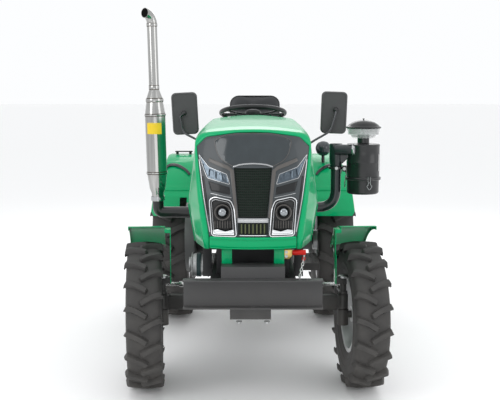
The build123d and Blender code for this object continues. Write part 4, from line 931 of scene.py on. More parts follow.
def row_tree():
    """Repeats its mesh along a straight row, each turned further about the row by a twist."""
    tree, given = started_tree("along_a_row", (("Form", "Geometry"), ("Count", "Int"),
                                               ("Start", "Vector"), ("Step", "Vector"),
                                               ("Twist", "Float")), "Row")
    index = joined(tree, "GeometryNodeInputIndex", {})["Index"]
    reach = joined(tree, "ShaderNodeVectorMath", {0: index, 1: given["Step"], 2: given["Start"]},
                   operation="MULTIPLY_ADD")["Vector"]
    places = joined(tree, "GeometryNodePoints", {"Count": given["Count"],
                                                 "Position": reach})["Points"]
    turn = joined(tree, "ShaderNodeMath", {0: index, 1: given["Twist"]}, operation="MULTIPLY")[0]
    aim = joined(tree, "FunctionNodeAxisAngleToRotation", {"Axis": given["Step"],
                                                           "Angle": turn})["Rotation"]
    return ended(tree, given, copies(tree, places, given["Form"], aim))


rows_of = row_tree()


def slab_mesh(width, depth, height, edge):
    """A small bar with its edges rounded, about the origin."""
    form = bmesh.new()
    bmesh.ops.create_cube(form, size=1.0)
    bmesh.ops.scale(form, vec=(width, depth, height), verts=form.verts)
    bmesh.ops.bevel(form, geom=form.edges[:], offset=edge, segments=1, affect="EDGES")
    return mesh_of(form, "slab")


def merged(pieces_to_join, name, finish, slot_name, body):
    """Several rows joined into one piece."""
    form = form_of(*(piece.data for piece in pieces_to_join))
    for piece in pieces_to_join:
        bpy.data.objects.remove(piece)
    for face in form.faces:
        face.material_index = 0
    return piece_from(form, name, finish, slot_name, body, 40)


core_y = front_axle_y - 0.344
lamp_x = 0.132
fins = []
for side in (1, -1):
    settings = {"Count": 7, "Start": (side * lamp_x - 0.033, core_y - 0.026, 0.839),
                "Step": (0.011, 0, 0), "Twist": 0.0, "Finish": mask_graphite}
    fins.append(grown(slab_mesh(0.0035, 0.012, 0.032, 0.0007), rows_of, settings, f"fins_{side}",
                      "graphite", "hood"))
merged(fins, "headlamp_fins", rib_graphite, "graphite", "hood")
for side, side_name in sides:
    backing = slab_mesh(0.088, 0.006, 0.140, 0.002)
    backing.transform(Matrix.Translation((side * lamp_x, core_y - 0.0145, 0.872)))
    piece_from(form_of(backing), "headlamp_back_" + side_name, housing_black, "black_plastic",
               "hood", 30)
for side, side_name in sides:
    eye = (side * lamp_x, core_y - 0.034, 0.893)
    ball = lathed([(0.0, 0.0), (0.0, 0.0195), (0.004, 0.0192), (0.009, 0.0165), (0.0125, 0.011),
                   (0.0142, 0.005), (0.0146, 0.0)], eye, (0, -1, 0), 40)
    piece_from(ball, "lamp_lens_" + side_name, lens_glass, "lamp", "hood", 60)
    bezel = lathed([(-0.004, 0.029), (-0.004, 0.0355), (0.0015, 0.0355), (0.003, 0.0345),
                    (0.003, 0.0325), (0.001, 0.030), (-0.004, 0.029)], eye, (0, -1, 0), 48)
    piece_from(bezel, "lamp_bezel_" + side_name, rib_graphite, "graphite", "hood", 50)


def diamond_mesh(low, high, half_low, half_high, pitch, wire):
    """Woven wire behind the grille, on the nose's curve."""
    net = bmesh.new()
    reach = high - low
    for lean in (1, -1):
        for i in range(-60, 60):
            run = []
            for k in range(int(reach / pitch) + 1):
                z = low + k * pitch
                x = i * pitch + lean * (k % 2) * pitch / 2 + (0 if lean > 0 else pitch / 2)
                run.append((x, z))
            for (x0, z0), (x1, z1) in zip(run, run[1:]):
                room = half_low + (half_high - half_low) * (max(z0, z1) - low) / reach
                if max(abs(x0), abs(x1)) <= room:
                    net.edges.new([net.verts.new((x, on_nose(x, z) + 0.0075, z))
                                   for x, z in ((x0, z0), (x1, z1))])
    bmesh.ops.remove_doubles(net, verts=net.verts, dist=1e-5)
    tree, given = started_tree("wires", (("Net", "Geometry"), ("Wire Radius", "Float")), "Wires")
    lines = joined(tree, "GeometryNodeMeshToCurve", {"Mesh": given["Net"]})["Curve"]
    round_wire = joined(tree, "GeometryNodeCurvePrimitiveCircle",
                        {"Resolution": 4, "Radius": given["Wire Radius"]})["Curve"]
    wires = joined(tree, "GeometryNodeCurveToMesh", {"Curve": lines,
                                                     "Profile Curve": round_wire})["Mesh"]
    return grown(mesh_of(net, "wire_net"), ended(tree, given, wires),
                 {"Wire Radius": wire, "Finish": mesh_green}, "grille_mesh", "black_plastic",
                 "hood")


diamond_mesh(0.876, 1.082, 0.060, 0.080, 0.0085, 0.0007)

olive_bar = finish_of("olive_bar", (0.075, 0.088, 0.036), 0.5, grain=0.3)
vent_runs = [[(x - 0.003, 0.8035), (x + 0.003, 0.8035), (x + 0.003, 0.845), (x - 0.003, 0.845)]
             for x in (0.0165 * k for k in range(-3, 4))]
piece_from(nose_plate(vent_runs, 0.0012, 0.003, 0.0006), "vent_bars", olive_bar, "graphite",
           "hood", 40)
# Near-black bars set beside each green louvre stand for the gaps between them: painted shade.
louvre_gap_shade = finish_of("louvre_gap_shade", (0.004, 0.005, 0.005), 0.7, grain=0.2, sheen=0.1)
louvre_count, louvre_pitch, first_louvre_y = 11, 0.032, -0.690
for side, side_name in sides:
    lean = Matrix.Rotation(side * radians(9.4), 4, "Y")
    for width, depth, height, out, shift, finish, name in (
        (0.0060, 0.010, 0.092, 0.0012, 0.000, green_enamel, "louvres"),
        (0.0040, 0.009, 0.086, 0.0006, 0.0088, louvre_gap_shade, "gap_shade"),
    ):
        bar = slab_mesh(width, depth, height, 0.0015)
        bar.transform(lean)
        settings = {"Count": louvre_count, "Step": (0, louvre_pitch, 0), "Twist": 0.0,
                    "Start": (side * (0.2800 + out), first_louvre_y + shift, 0.826),
                    "Finish": finish}
        row = grown(bar, rows_of, settings, f"{name}_row_{side_name}", "green_paint", "chassis")
        merged([row], f"{name}_{side_name}", finish, "green_paint", "chassis")

# ---------------------------------------------------------------- exhaust
# A polished stainless silencer with rolled bands and a plain tailpipe, its mouth turned forwards,
# clamped on a black bent pipe from the engine.
polished_steel = finish_of("polished_steel", (0.40, 0.40, 0.39), 0.12, metal=1.0, mottle=0.5,
                           mottle_size=0.016, grain=0.05)
# The steel's colour patches are stretched along the stack into long light and dark streaks: painted
# reflections.
steel_tree = polished_steel.node_tree
drawn = steel_tree.nodes.new("ShaderNodeMapping")
drawn.inputs["Scale"].default_value = (1.0, 1.0, 0.02)
patch_noise = next(n for n in steel_tree.nodes if n.type == "TEX_NOISE"
                   and n.inputs["Detail"].default_value > 5)
steel_tree.links.new(patch_noise.inputs["Vector"].links[0].from_socket, drawn.inputs["Vector"])
steel_tree.links.new(drawn.outputs["Vector"], patch_noise.inputs["Vector"])
# Dark brown for thin rings at the silencer's band edges and steps: painted shade of the rolled
# grooves.
crease_shade_brown = finish_of("crease_shade_brown", (0.085, 0.060, 0.040), 0.3, metal=0.8, mottle=0.3,
                       mottle_size=0.01)
satin_black = finish_of("satin_black", (0.014, 0.0145, 0.016), 0.30, coat=0.3, grain=0.12)
soot_and_bore_shade = finish_of("soot_and_bore_shade", (0.003, 0.003, 0.003), 0.9, grain=0.3, sheen=0.05)
label_yellow = finish_of("label_yellow", (0.78, 0.55, 0.02), 0.4, grain=0.05)


def swept(path, radius, facets=20):
    """A round tube along points, as a bmesh; radius may be a list, one to a point."""
    line = [Vector(p) for p in path]
    radii = radius if isinstance(radius, list) else [radius] * len(line)
    form = bmesh.new()
    rings = []
    across = None
    for i, p in enumerate(line):
        along = (line[min(i + 1, len(line) - 1)] - line[max(i - 1, 0)]).normalized()
        if across is None:
            across = along.orthogonal().normalized()
        across = (across - along * across.dot(along)).normalized()
        other = along.cross(across)
        rings.append([form.verts.new(p + (across * cos(a) + other * sin(a)) * radii[i])
                      for a in circle_angles(facets)])
    return bridged(form, rings, True)


def bent_path(corners, bend, steps=8):
    """Straight runs joined by arcs, through a few corners."""
    line = [Vector(p) for p in corners]
    path = [line[0]]
    for before, here, after in zip(line, line[1:], line[2:]):
        reach = min(bend, (before - here).length * 0.48, (after - here).length * 0.48)
        start = here + (before - here).normalized() * reach
        end = here + (after - here).normalized() * reach
        for k in range(steps + 1):
            t = k / steps
            path.append((1 - t) ** 2 * start + 2 * t * (1 - t) * here + t * t * end)
    path.append(line[-1])
    return path


stack_foot = Vector((-0.478, front_axle_y + 0.3, 0.861))
stack_dir = Vector((-sin(radians(1.3)), 0, cos(radians(1.3))))
tail_r = 0.0248
silencer_profile = [(-0.001, 0.0), (-0.001, 0.0305), (0.038, 0.0305), (0.064, 0.040),
                    (0.072, 0.0405), (0.136, 0.0495)]
for band_at in (0.136, 0.424):
    silencer_profile += [(band_at, 0.0505), (band_at + 0.0015, 0.0528), (band_at + 0.005, 0.0533),
                         (band_at + 0.0085, 0.0528), (band_at + 0.010, 0.0500)]
silencer_profile += [(0.494, 0.0412), (0.495, 0.0435), (0.499, 0.0440), (0.506, 0.0440),
                     (0.510, 0.0432), (0.511, 0.0405), (0.556, 0.0245), (0.557, 0.0262),
                     (0.562, 0.0266), (0.570, 0.0266), (0.574, 0.0260), (0.575, tail_r),
                     (0.700, tail_r), (0.864, tail_r), (0.865, 0.0268), (0.868, 0.0272),
                     (0.874, 0.0272), (0.877, 0.0266), (0.878, 0.0)]
silencer = lathed(silencer_profile, stack_foot, stack_dir, 56)
stack = piece_from(silencer, "silencer_and_tailpipe", polished_steel, "steel", "chassis", 24)
tip_foot = stack_foot + stack_dir * 0.874
tip_dir = Vector((-0.64, -0.76, 0.08)).normalized()
tip_path = [tip_foot]
for k in range(15):
    a = radians(84 * k / 14)
    tip_path.append(tip_foot + stack_dir * (0.005 + 0.045 * sin(a))
                    + tip_dir * (0.045 * (1 - cos(a))))
tip_end = tip_path[-1] + tip_dir * 0.006
tip_path.append(tip_end)
tip_form = swept(tip_path, tail_r, 32)
piece_from(tip_form, "exhaust_tip", polished_steel, "steel", "chassis", 40)
# A near-black disc closes the tailpipe's mouth: painted shade of the bore, with soot.
mouth = lathed([(-0.001, 0.0), (-0.001, tail_r - 0.0025), (0.0009, tail_r - 0.0025), (0.0009, 0.0)],
               tip_end, tip_dir, 32)
piece_from(mouth, "exhaust_mouth", soot_and_bore_shade, "black_paint", "chassis", 40)
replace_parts(stack, "exhaust_stack")
# Thin dark brown rings at each rolled band and step: painted shade in the grooves.
crease_shade_places = ((0.1345, 0.0505), (0.1475, 0.0508), (0.4225, 0.0508), (0.4355, 0.0505),
               (0.4935, 0.0418), (0.5125, 0.0410), (0.5555, 0.0256), (0.5755, 0.0256),
               (0.8635, 0.0256), (0.8785, 0.0256))  # up the stack, radius there
crease_shade_meshes = []
for at, radius in crease_shade_places:
    low, high, inner, outer = at - 0.0009, at + 0.0009, radius - 0.004, radius + 0.0006
    crease_shade_run = [(low, inner), (low, outer), (high, outer), (high, inner), (low, inner)]
    crease_shade_meshes.append(mesh_of(lathed(crease_shade_run, stack_foot, stack_dir, 48), "seam"))
crease_shade_rings = form_of(*crease_shade_meshes)
piece_from(crease_shade_rings, "silencer_crease_shade", crease_shade_brown, "steel", "chassis", 30)
elbow_low = stack_foot - stack_dir * 0.059
elbow_path = bent_path([stack_foot, elbow_low, (-0.205, elbow_low.y, elbow_low.z)], 0.052, 12)
elbow = piece_from(swept(elbow_path, 0.028, 32), "exhaust_bend", satin_black, "black_paint",
                   "chassis", 50)
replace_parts(elbow, "exhaust_elbow")


def wrapped(centre, axis, radius, first, last, low, high, steps=14):
    """A thin patch round a can: angles are measured from the front, towards the tractor's left."""
    form = bmesh.new()
    rows = []
    for z in (low, high):
        for rise in (0.0, 0.0006):
            rows.append([
                form.verts.new(centre + axis * z + Vector((sin(a), -cos(a), 0)) * (radius + rise))
                for a in (radians(first + (last - first) * i / steps) for i in range(steps + 1))
            ])
    low_in, low_out, high_in, high_out = rows
    for near, far in ((low_out, high_out), (high_out, high_in), (high_in, low_in),
                      (low_in, low_out)):
        for i in range(steps):
            form.faces.new((near[i], near[i + 1], far[i + 1], far[i]))
    for i in (0, steps):
        form.faces.new((low_in[i], low_out[i], high_out[i], high_in[i]))
    bmesh.ops.recalc_face_normals(form, faces=form.faces)
    return form


piece_from(wrapped(stack_foot, stack_dir, 0.0499, -48, 42, 0.336, 0.392), "blank_label",
           label_yellow, "steel", "chassis")
clamp = lathed([(0.002, 0.031), (0.002, 0.0345), (0.022, 0.0345), (0.022, 0.031)], stack_foot,
               stack_dir, 48)
piece_from(clamp, "exhaust_clamp", dull_chrome, "steel", "chassis", 40)
clamp_bolt = [(stack_foot + stack_dir * 0.012 + Vector((0.012, -0.044, 0)), (1, 0, 0))]
bolted("exhaust_clamp_bolt", clamp_bolt, 0.006, "chassis", bolt_zinc)

# ---------------------------------------------------------------- air cleaner and its duct
# The oil-bath cleaner is a pressed black can in two parts, latched at a clamp ring, with a clear
# pre-cleaner bowl under a black cap.  A moulded rubber duct takes its air to the engine.
moulded_black = finish_of("moulded_black", (0.022, 0.0225, 0.024), 0.42, grain=0.5,
                          grain_size=0.0012, sheen=0.3)
duct_black = finish_of("duct_black", (0.012, 0.017, 0.020), 0.24, coat=0.3, grain=0.2)
label_white = finish_of("label_white", (0.42, 0.42, 0.42), 0.4, grain=0.05)
filter_foot = Vector((0.542, front_axle_y + 0.22, 0.907))
up = Vector((0, 0, 1))
can_profile = [(0.0, 0.0), (0.0, 0.070), (0.002, 0.0745), (0.008, 0.0785), (0.068, 0.0795),
               (0.069, 0.0855), (0.072, 0.0885), (0.075, 0.0870), (0.077, 0.0870),
               (0.080, 0.0885), (0.083, 0.0855), (0.084, 0.0805), (0.150, 0.0808),
               (0.152, 0.0818), (0.158, 0.0818), (0.160, 0.0808), (0.232, 0.0808),
               (0.236, 0.0822), (0.241, 0.0815), (0.2445, 0.078), (0.2455, 0.070),
               (0.247, 0.031), (0.250, 0.029), (0.274, 0.029), (0.274, 0.0)]
can = piece_from(lathed(can_profile, filter_foot, up, 72), "filter_can", satin_black,
                 "black_paint", "chassis", 30)
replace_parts(can, "air_filter")
duct_x = 0.408
spout_z = 1.124
arm_foot = Vector((duct_x - 0.004, filter_foot.y - 0.020, spout_z))
arm_tip = Vector((0.505, filter_foot.y - 0.046, spout_z))
arm_dir = (arm_tip - arm_foot).normalized()
spout = swept([arm_foot, arm_foot.lerp(arm_tip, 0.5), arm_tip], 0.0265, 36)
piece_from(spout, "filter_spout", duct_black, "black_paint", "chassis", 40)
collar = lathed([(-0.007, 0.022), (-0.007, 0.0285), (-0.005, 0.0298), (0.005, 0.0298),
                 (0.007, 0.0285), (0.007, 0.022)], arm_tip - arm_dir * 0.014, arm_dir, 40)
piece_from(collar, "spout_clamp", dull_chrome, "zinc", "chassis", 40)
web = slab_mesh(0.060, 0.010, 0.060, 0.002)
web.transform(Matrix.Translation((duct_x + 0.030, filter_foot.y - 0.020, spout_z - 0.026))
              @ Matrix.Rotation(pi / 4, 4, "Y"))
piece_from(form_of(web), "spout_web", duct_black, "black_plastic", "chassis", 40)
duct_path = bent_path([(duct_x, filter_foot.y, 1.040), (duct_x, filter_foot.y, 0.838),
                       (0.205, filter_foot.y, 0.838)], 0.088, 16)
duct = piece_from(swept(duct_path, 0.0250, 36), "duct_hose", duct_black, "black_plastic",
                  "chassis", 50)
tee = swept([(duct_x, filter_foot.y, z) for z in (1.030, 1.034, 1.060, 1.066, 1.148, 1.152)],
            [0.0270, 0.029, 0.030, 0.0325, 0.0325, 0.0300], 36)
piece_from(tee, "duct_tee", duct_black, "black_plastic", "chassis", 50)
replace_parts(duct, "air_duct")
ring = lathed([(0.0, 0.028), (0.0, 0.0355), (0.003, 0.037), (0.009, 0.037), (0.012, 0.0355),
               (0.012, 0.028)], (duct_x, filter_foot.y, 1.028), up, 44)
ear = slab_mesh(0.018, 0.022, 0.030, 0.003)
ear.transform(Matrix.Translation((duct_x + 0.041, filter_foot.y - 0.004, 1.030)))
ring.from_mesh(ear)
piece_from(ring, "duct_flange", satin_black, "black_paint", "chassis", 40)
flange_bolts = [((duct_x, filter_foot.y - 0.037, 1.034), (0, -1, 0)),
                ((duct_x + 0.041, filter_foot.y - 0.016, 1.030), (0, -1, 0))]
bolted("duct_flange_bolts", flange_bolts, 0.0055, "chassis", bolt_zinc)
label = wrapped(filter_foot, up, 0.0822, 58, 76, 0.114, 0.196)
piece_from(label, "blank_filter_label", label_white, "black_paint", "chassis")


def latch_at(angle):
    """A sprung wire bail with its lever, hooked over the clamp ring."""
    out = Vector((sin(angle), -cos(angle), 0))
    over = Vector((cos(angle), sin(angle), 0))
    base = filter_foot + out * 0.0865
    bail = [base + over * d + up * z
            for d, z in ((-0.006, 0.088), (-0.006, 0.060), (0.006, 0.060), (0.006, 0.088))]
    lever = [base + over * d + up * z + out * 0.003
             for d, z in ((-0.006, 0.062), (-0.006, 0.050), (-0.014, 0.043), (-0.005, 0.030),
                          (0.0, 0.025), (0.005, 0.030), (0.014, 0.043), (0.006, 0.050),
                          (0.006, 0.062))]
    return form_of(*(mesh_of(swept(bent_path(path, 0.004, 3), 0.0013, 8), "wire")
                     for path in (bail, lever)))


for i, angle in enumerate((0.25, 0.25 + 2 * pi / 3, 0.25 + 4 * pi / 3)):
    piece_from(latch_at(angle), f"can_latch_{i + 1}", dull_chrome, "zinc", "chassis", 50)

bowl_foot = filter_foot + up * 0.274
bowl_wall = [(0.0, 0.0), (0.0, 0.052), (0.004, 0.058), (0.010, 0.0600), (0.014, 0.0640),
             (0.016, 0.0745), (0.022, 0.0765), (0.050, 0.0815), (0.0535, 0.0815),
             (0.0535, 0.0795), (0.022, 0.0745), (0.018, 0.0725), (0.016, 0.0620),
             (0.012, 0.0575), (0.004, 0.050), (0.003, 0.0)]
clear_bowl = finish_of("clear_bowl", (0.78, 0.80, 0.80), 0.08, grain=0.02)
cap_black = finish_of("cap_black", (0.006, 0.0065, 0.007), 0.22, grain=0.05, sheen=0.25)
clear_shader = clear_bowl.node_tree.nodes["Principled BSDF"]
clear_shader.inputs["Alpha"].default_value = 0.30
bowl = piece_from(lathed(bowl_wall, bowl_foot, up, 64), "precleaner_bowl", clear_bowl, "clear",
                  "chassis", 40)
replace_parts(bowl, "precleaner")
cap_profile = [(0.0470, 0.0), (0.0470, 0.0820), (0.0480, 0.0855), (0.0545, 0.0858),
               (0.0560, 0.0800), (0.0660, 0.0700), (0.0760, 0.0540), (0.0830, 0.036),
               (0.0865, 0.018), (0.0875, 0.0)]
piece_from(lathed(cap_profile, bowl_foot, up, 64), "precleaner_cap", cap_black, "black_plastic",
           "chassis", 32)
knob = lathed([(0.0, 0.0), (0.0, 0.003), (0.004, 0.003), (0.005, 0.0052), (0.0085, 0.0052),
               (0.0095, 0.0)], bowl_foot + up * 0.0865, up, 20)
piece_from(knob, "precleaner_nut", satin_black, "black_plastic", "chassis", 40)
vane = slab_mesh(0.034, 0.040, 0.0016, 0.0004)
vane.transform(Matrix.Translation((0.034, 0.050, 0)) @ Matrix.Rotation(radians(28), 4, "Y"))
vane_white = finish_of("vane_white", (0.30, 0.30, 0.30), 0.5)
stood_up = Matrix.Translation(bowl_foot) @ Matrix.Rotation(-pi / 2, 4, "Y")
vane_ring = ringed(vane, 18, 0.0, vane_white)
vane_ring.transform(stood_up)
piece_from(form_of(vane_ring), "precleaner_vanes", vane_white, "clear", "chassis", 40)
core = lathed([(0.002, 0.0), (0.002, 0.030), (0.012, 0.030), (0.030, 0.022), (0.052, 0.022),
               (0.052, 0.0)], bowl_foot, up, 32)
piece_from(core, "precleaner_core", satin_black, "black_plastic", "chassis", 40)

# ---------------------------------------------------------------- fenders
# Pressed fenders in green enamel over all four wheels, the rear ones with a moulded rolled lip,
# bolted to the axle housings.  A bent grab bar and a round work lamp stand on the rear ones.
for side, side_name in sides:
    dressed("rear_fender_" + side_name, green_enamel, 0.0008)
    dressed("fender_lip_" + side_name, moulded_black, 0.0015)
    dressed("front_fender_" + side_name, green_enamel, 0.0008)
    low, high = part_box("rear_fender_" + side_name)
    wall_x = low.x if side > 0 else high.x
    bolted(
        "fender_bolts_" + side_name,
        [((wall_x - side * 0.0002, rear_axle_y + dy, z), (-side, 0, 0)) for dy in (-0.20, 0.0, 0.20)
         for z in (0.80, 0.88)],
        0.008, nodes["rear_fender_" + side_name]["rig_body"], bolt_zinc,
    )
dressed("grab_bar", satin_black, 0.003)
lamp_low, lamp_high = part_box("work_lamp")
lamp_r = (lamp_high.x - lamp_low.x) / 2
lamp_centre = Vector(((lamp_low.x + lamp_high.x) / 2, (lamp_low.y + lamp_high.y) / 2,
                      lamp_high.z - lamp_r))
shell_run = [(-lamp_r * cos(a), lamp_r * sin(a)) for a in (radians(7.5 * k) for k in range(17))]
shell_run[0] = (-lamp_r, 0.0)
shell_run += [(lamp_r * 0.62, lamp_r * 0.80), (lamp_r * 0.58, lamp_r * 0.72),
              (lamp_r * 0.50, lamp_r * 0.70), (lamp_r * 0.50, 0.0)]
lamp_aim = Vector((0, 1, -0.25)).normalized()
lamp_shell = lathed(shell_run, lamp_centre, lamp_aim, 48)
lamp = piece_from(lamp_shell, "work_lamp_shell", gloss_black, "black_plastic", "chassis", 30)
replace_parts(lamp, "work_lamp")
lamp_lens = lathed([(0.0, 0.0), (0.0, lamp_r * 0.70), (0.004, lamp_r * 0.62),
                    (0.007, lamp_r * 0.35), (0.008, 0.0)],
                   lamp_centre + lamp_aim * lamp_r * 0.48, lamp_aim, 40)
piece_from(lamp_lens, "work_lamp_lens", lens_glass, "lamp", "chassis", 50)
post = swept([(lamp_centre.x, lamp_centre.y, z)
              for z in (lamp_low.z, lamp_low.z + 0.02, lamp_centre.z)], 0.0095, 20)
piece_from(post, "work_lamp_post", satin_black, "black_paint", "chassis", 40)

# ---------------------------------------------------------------- floor
# Chequered steel footplates on bearers: raised lozenges in crossing rows, set by Geometry Nodes.
def chequer_tree():
    """Sets its mesh over a flat grid, every second one turned across the first."""
    tree, given = started_tree("chequer", (("Lozenge", "Geometry"), ("Centre", "Vector"),
                                           ("Width", "Float"), ("Length", "Float"),
                                           ("Across", "Int"), ("Along", "Int")), "Plate")
    grid = joined(tree, "GeometryNodeMeshGrid", {"Size X": given["Width"],
                                                 "Size Y": given["Length"],
                                                 "Vertices X": given["Across"],
                                                 "Vertices Y": given["Along"]})["Mesh"]
    index = joined(tree, "GeometryNodeInputIndex", {})["Index"]
    odd = joined(tree, "ShaderNodeMath", {0: index, 1: 2.0}, operation="MODULO")[0]
    turn = joined(tree, "ShaderNodeMath", {0: odd, 1: pi / 2, 2: pi / 4},
                  operation="MULTIPLY_ADD")[0]
    aim = joined(tree, "ShaderNodeCombineXYZ", {"Z": turn})["Vector"]
    spread = copies(tree, grid, given["Lozenge"], aim)
    moved = joined(tree, "GeometryNodeTransform", {"Geometry": spread,
                                                   "Translation": given["Centre"]})["Geometry"]
    return ended(tree, given, moved)


dressed("floor_plates", chassis_black, 0.001)
chequer = chequer_tree()
lozenge = bmesh.new()
foot, crown = (
    [lozenge.verts.new((x, y, z)) for x, y in ((-long, 0), (0, -wide), (long, 0), (0, wide))]
    for long, wide, z in ((0.013, 0.0035, -0.0005), (0.009, 0.0020, 0.0016))
)
lozenge_mesh = mesh_of(bridged(lozenge, [foot, crown], True), "lozenge")
floor_low, floor_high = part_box("floor_plates")
for side, side_name in sides:
    settings = {"Centre": (side * (floor_high.x + 0.130) / 2, (floor_low.y + floor_high.y) / 2,
                           floor_high.z),
                "Width": floor_high.x - 0.130 - 0.03, "Length": floor_high.y - floor_low.y - 0.03,
                "Across": 9, "Along": 15, "Finish": chassis_black}
    grown(lozenge_mesh.copy(), chequer, settings, "chequer_" + side_name, "black_paint",
          "chassis", 20)

# ---------------------------------------------------------------- seat
# Foam cushions under black vinyl with piped edges and stitched channels, on a moulded tray and
# stay.  The foam's crowned shape is found by blowing up a cloth copy of each packed cushion.
vinyl = finish_of("vinyl", (0.030, 0.031, 0.034), 0.40, grain=0.5, grain_size=0.0016, sheen=0.4)
piping_vinyl = finish_of("piping_vinyl", (0.012, 0.012, 0.013), 0.34, grain=0.2)


def stuffed(node, most, channels):
    """A cushion blown up from its packed form, held to a few millimetres, with channels sewn in."""
    form = form_of(nodes[node].data)
    bmesh.ops.remove_doubles(form, verts=form.verts, dist=1e-5)
    pad = bpy.data.objects.new(node + "_pad", mesh_of(form, node + "_pad"))
    bpy.context.scene.collection.objects.link(pad)
    remesh = pad.modifiers.new("cells", "REMESH")
    remesh.mode = "VOXEL"
    remesh.voxel_size = 0.0055
    cells = worked_out(pad)
    pad.modifiers.remove(remesh)
    pad.data = cells
    rest = [v.co.copy() for v in cells.vertices]
    cloth = pad.modifiers.new("blown_up", "CLOTH")
    cloth.settings.quality = 5
    cloth.settings.mass = 0.3
    cloth.settings.use_pressure = True
    cloth.settings.uniform_pressure_force = 4.0
    cloth.settings.effector_weights.gravity = 0.0
    for frame_number in range(1, 21):
        bpy.context.scene.frame_set(frame_number)
    blown = worked_out(pad)
    pad.modifiers.remove(cloth)
    for vertex, start, moved in zip(cells.vertices, rest, blown.vertices):
        shift = moved.co - start
        if shift.length > 1e-9:
            held = most * (1 - exp(-shift.length / most))
            vertex.co = start + shift * (held / shift.length)
    bpy.context.scene.frame_set(1)
    smooth = pad.modifiers.new("even", "SMOOTH")
    smooth.iterations = 6
    finer = pad.modifiers.new("finer", "SUBSURF")
    finer.levels = 1
    sewn = worked_out(pad)
    bpy.data.objects.remove(pad)
    normals = [v.normal.copy() for v in sewn.vertices]
    for vertex, normal in zip(sewn.vertices, normals):
        pull = sum(depth * exp(-(reach(vertex.co, normal) / width) ** 2)
                   for reach, width, depth in channels)
        vertex.co = vertex.co - normal * pull
    return form_of(sewn)


def piped(name, outline, skin_tree, body):
    """A round piping cord laid along an outline, pulled on to the cushion's skin."""
    laid = [skin_tree.find_nearest(Vector(p))[0] for p in outline]
    cord = swept(laid + laid[:2], 0.0036, 10)
    piece_from(cord, name, piping_vinyl, "seat", body, 60)


def round_loop(low, high, radius, place, steps=10):
    """Points round a rectangle with round corners, each turned into a place in space."""
    loop = []
    corners = ((high[0], high[1], 0), (low[0], high[1], 90), (low[0], low[1], 180),
               (high[0], low[1], 270))
    for across, along, first in corners:
        centre_x = across - radius if across == high[0] else across + radius
        centre_y = along - radius if along == high[1] else along + radius
        for k in range(steps + 1):
            a = radians(first + 90 * k / steps)
            loop.append(place(centre_x + radius * cos(a), centre_y + radius * sin(a)))
    return loop


cushion_low, cushion_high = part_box("seat_cushion")
back_low, back_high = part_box("seat_back")
cushion_middle, front_edge = 0.128, cushion_low.y
cushion_form = stuffed("seat_cushion", 0.014, [
    (lambda p, n: abs(abs(p.x) - cushion_middle) if n.z > 0.3 else 1.0, 0.0055, 0.0085),
    (lambda p, n: abs(p.y - front_edge - 0.115) if n.z > 0.3 and abs(p.x) < cushion_middle
     else 1.0, 0.005, 0.006),
    (lambda p, n: abs(p.y - front_edge - 0.215) if n.z > 0.3 and abs(p.x) < cushion_middle
     else 1.0, 0.005, 0.006),
])
cushion_skin = BVHTree.FromBMesh(cushion_form)
cushion = piece_from(cushion_form, "seat_cushion_pad", vinyl, "seat", "chassis", 80)
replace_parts(cushion, "seat_cushion")
top_loop = round_loop((cushion_low.x - 0.002, cushion_low.y - 0.002),
                      (cushion_high.x + 0.002, cushion_high.y + 0.002),
                      0.042, lambda x, y: (x, y, cushion_high.z + 0.004))
piped("cushion_piping", top_loop, cushion_skin, "chassis")
low_loop = round_loop((cushion_low.x - 0.012, cushion_low.y - 0.012),
                      (cushion_high.x + 0.012, cushion_high.y + 0.012),
                      0.050, lambda x, y: (x, y, cushion_low.z + 0.016))
piped("cushion_low_seam", low_loop, cushion_skin, "chassis")
back_seam_z = back_high.z - 0.092
back_form = stuffed("seat_back", 0.012, [
    (lambda p, n: abs(p.z - back_seam_z) if n.y < -0.3 else 1.0, 0.006, 0.009),
    (lambda p, n: abs(p.z - back_low.z - 0.10) if n.y < -0.3 else 1.0, 0.005, 0.005),
])
back_skin = BVHTree.FromBMesh(back_form)
seat_rest = piece_from(back_form, "seat_back_pad", vinyl, "seat", "chassis", 80)
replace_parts(seat_rest, "seat_back")
for name, y in (("back_piping", back_low.y - 0.003), ("back_rear_piping", back_high.y + 0.002)):
    loop = round_loop((back_low.x - 0.002, back_low.z - 0.002),
                      (back_high.x + 0.002, back_high.z + 0.002), 0.060,
                      lambda x, z: (x, y, z))
    piped(name, loop, back_skin, "chassis")
dressed("seat_base", moulded_black, 0.004)

# ---------------------------------------------------------------- cowl, steering and mirrors
# The green cowl carries the tilted column, a moulded wheel on three spokes with a grey horn pad,
# the pedals and levers, and two mirrors on bent arms in dark plating.
cowl = dressed("dash_cowl", green_enamel, 0.0008)
painted_beyond(cowl, chassis_black, lambda middle: middle.z > 1.2635)
rim_black = finish_of("rim_black", (0.020, 0.0205, 0.022), 0.34, grain=0.35, grain_size=0.0010)
pad_grey = finish_of("pad_grey", (0.085, 0.088, 0.092), 0.40, grain=0.3)
wheel_at = Vector((0, front_axle_y + 0.985, 1.279))
column_tilt = radians(13)
column_dir = Vector((0, sin(column_tilt), cos(column_tilt)))
dressed("steering_column", satin_black, 0.001)
boot = lathed([(-0.300, 0.0), (-0.300, 0.050), (-0.292, 0.050), (-0.286, 0.040), (-0.150, 0.036),
               (-0.140, 0.031), (-0.052, 0.029), (-0.050, 0.0)], wheel_at, column_dir, 40)
piece_from(boot, "column_sleeve", moulded_black, "black_plastic", "chassis", 30)
rim_r, grip_r = 0.180, 0.0128
turned_up = Matrix.Translation(wheel_at) @ Matrix.Rotation(-column_tilt, 4, "X")
rim = bmesh.new()
rim_rings = []
for a in circle_angles(96):
    swell = 0.0008 * cos(a * 24)  # finger grips on the inner side
    ring = []
    for b in circle_angles(20):
        r = rim_r + (grip_r + (swell if cos(b) < -0.2 else 0)) * cos(b)
        ring.append(rim.verts.new((r * cos(a), r * sin(a), grip_r * sin(b))))
    rim_rings.append(ring)
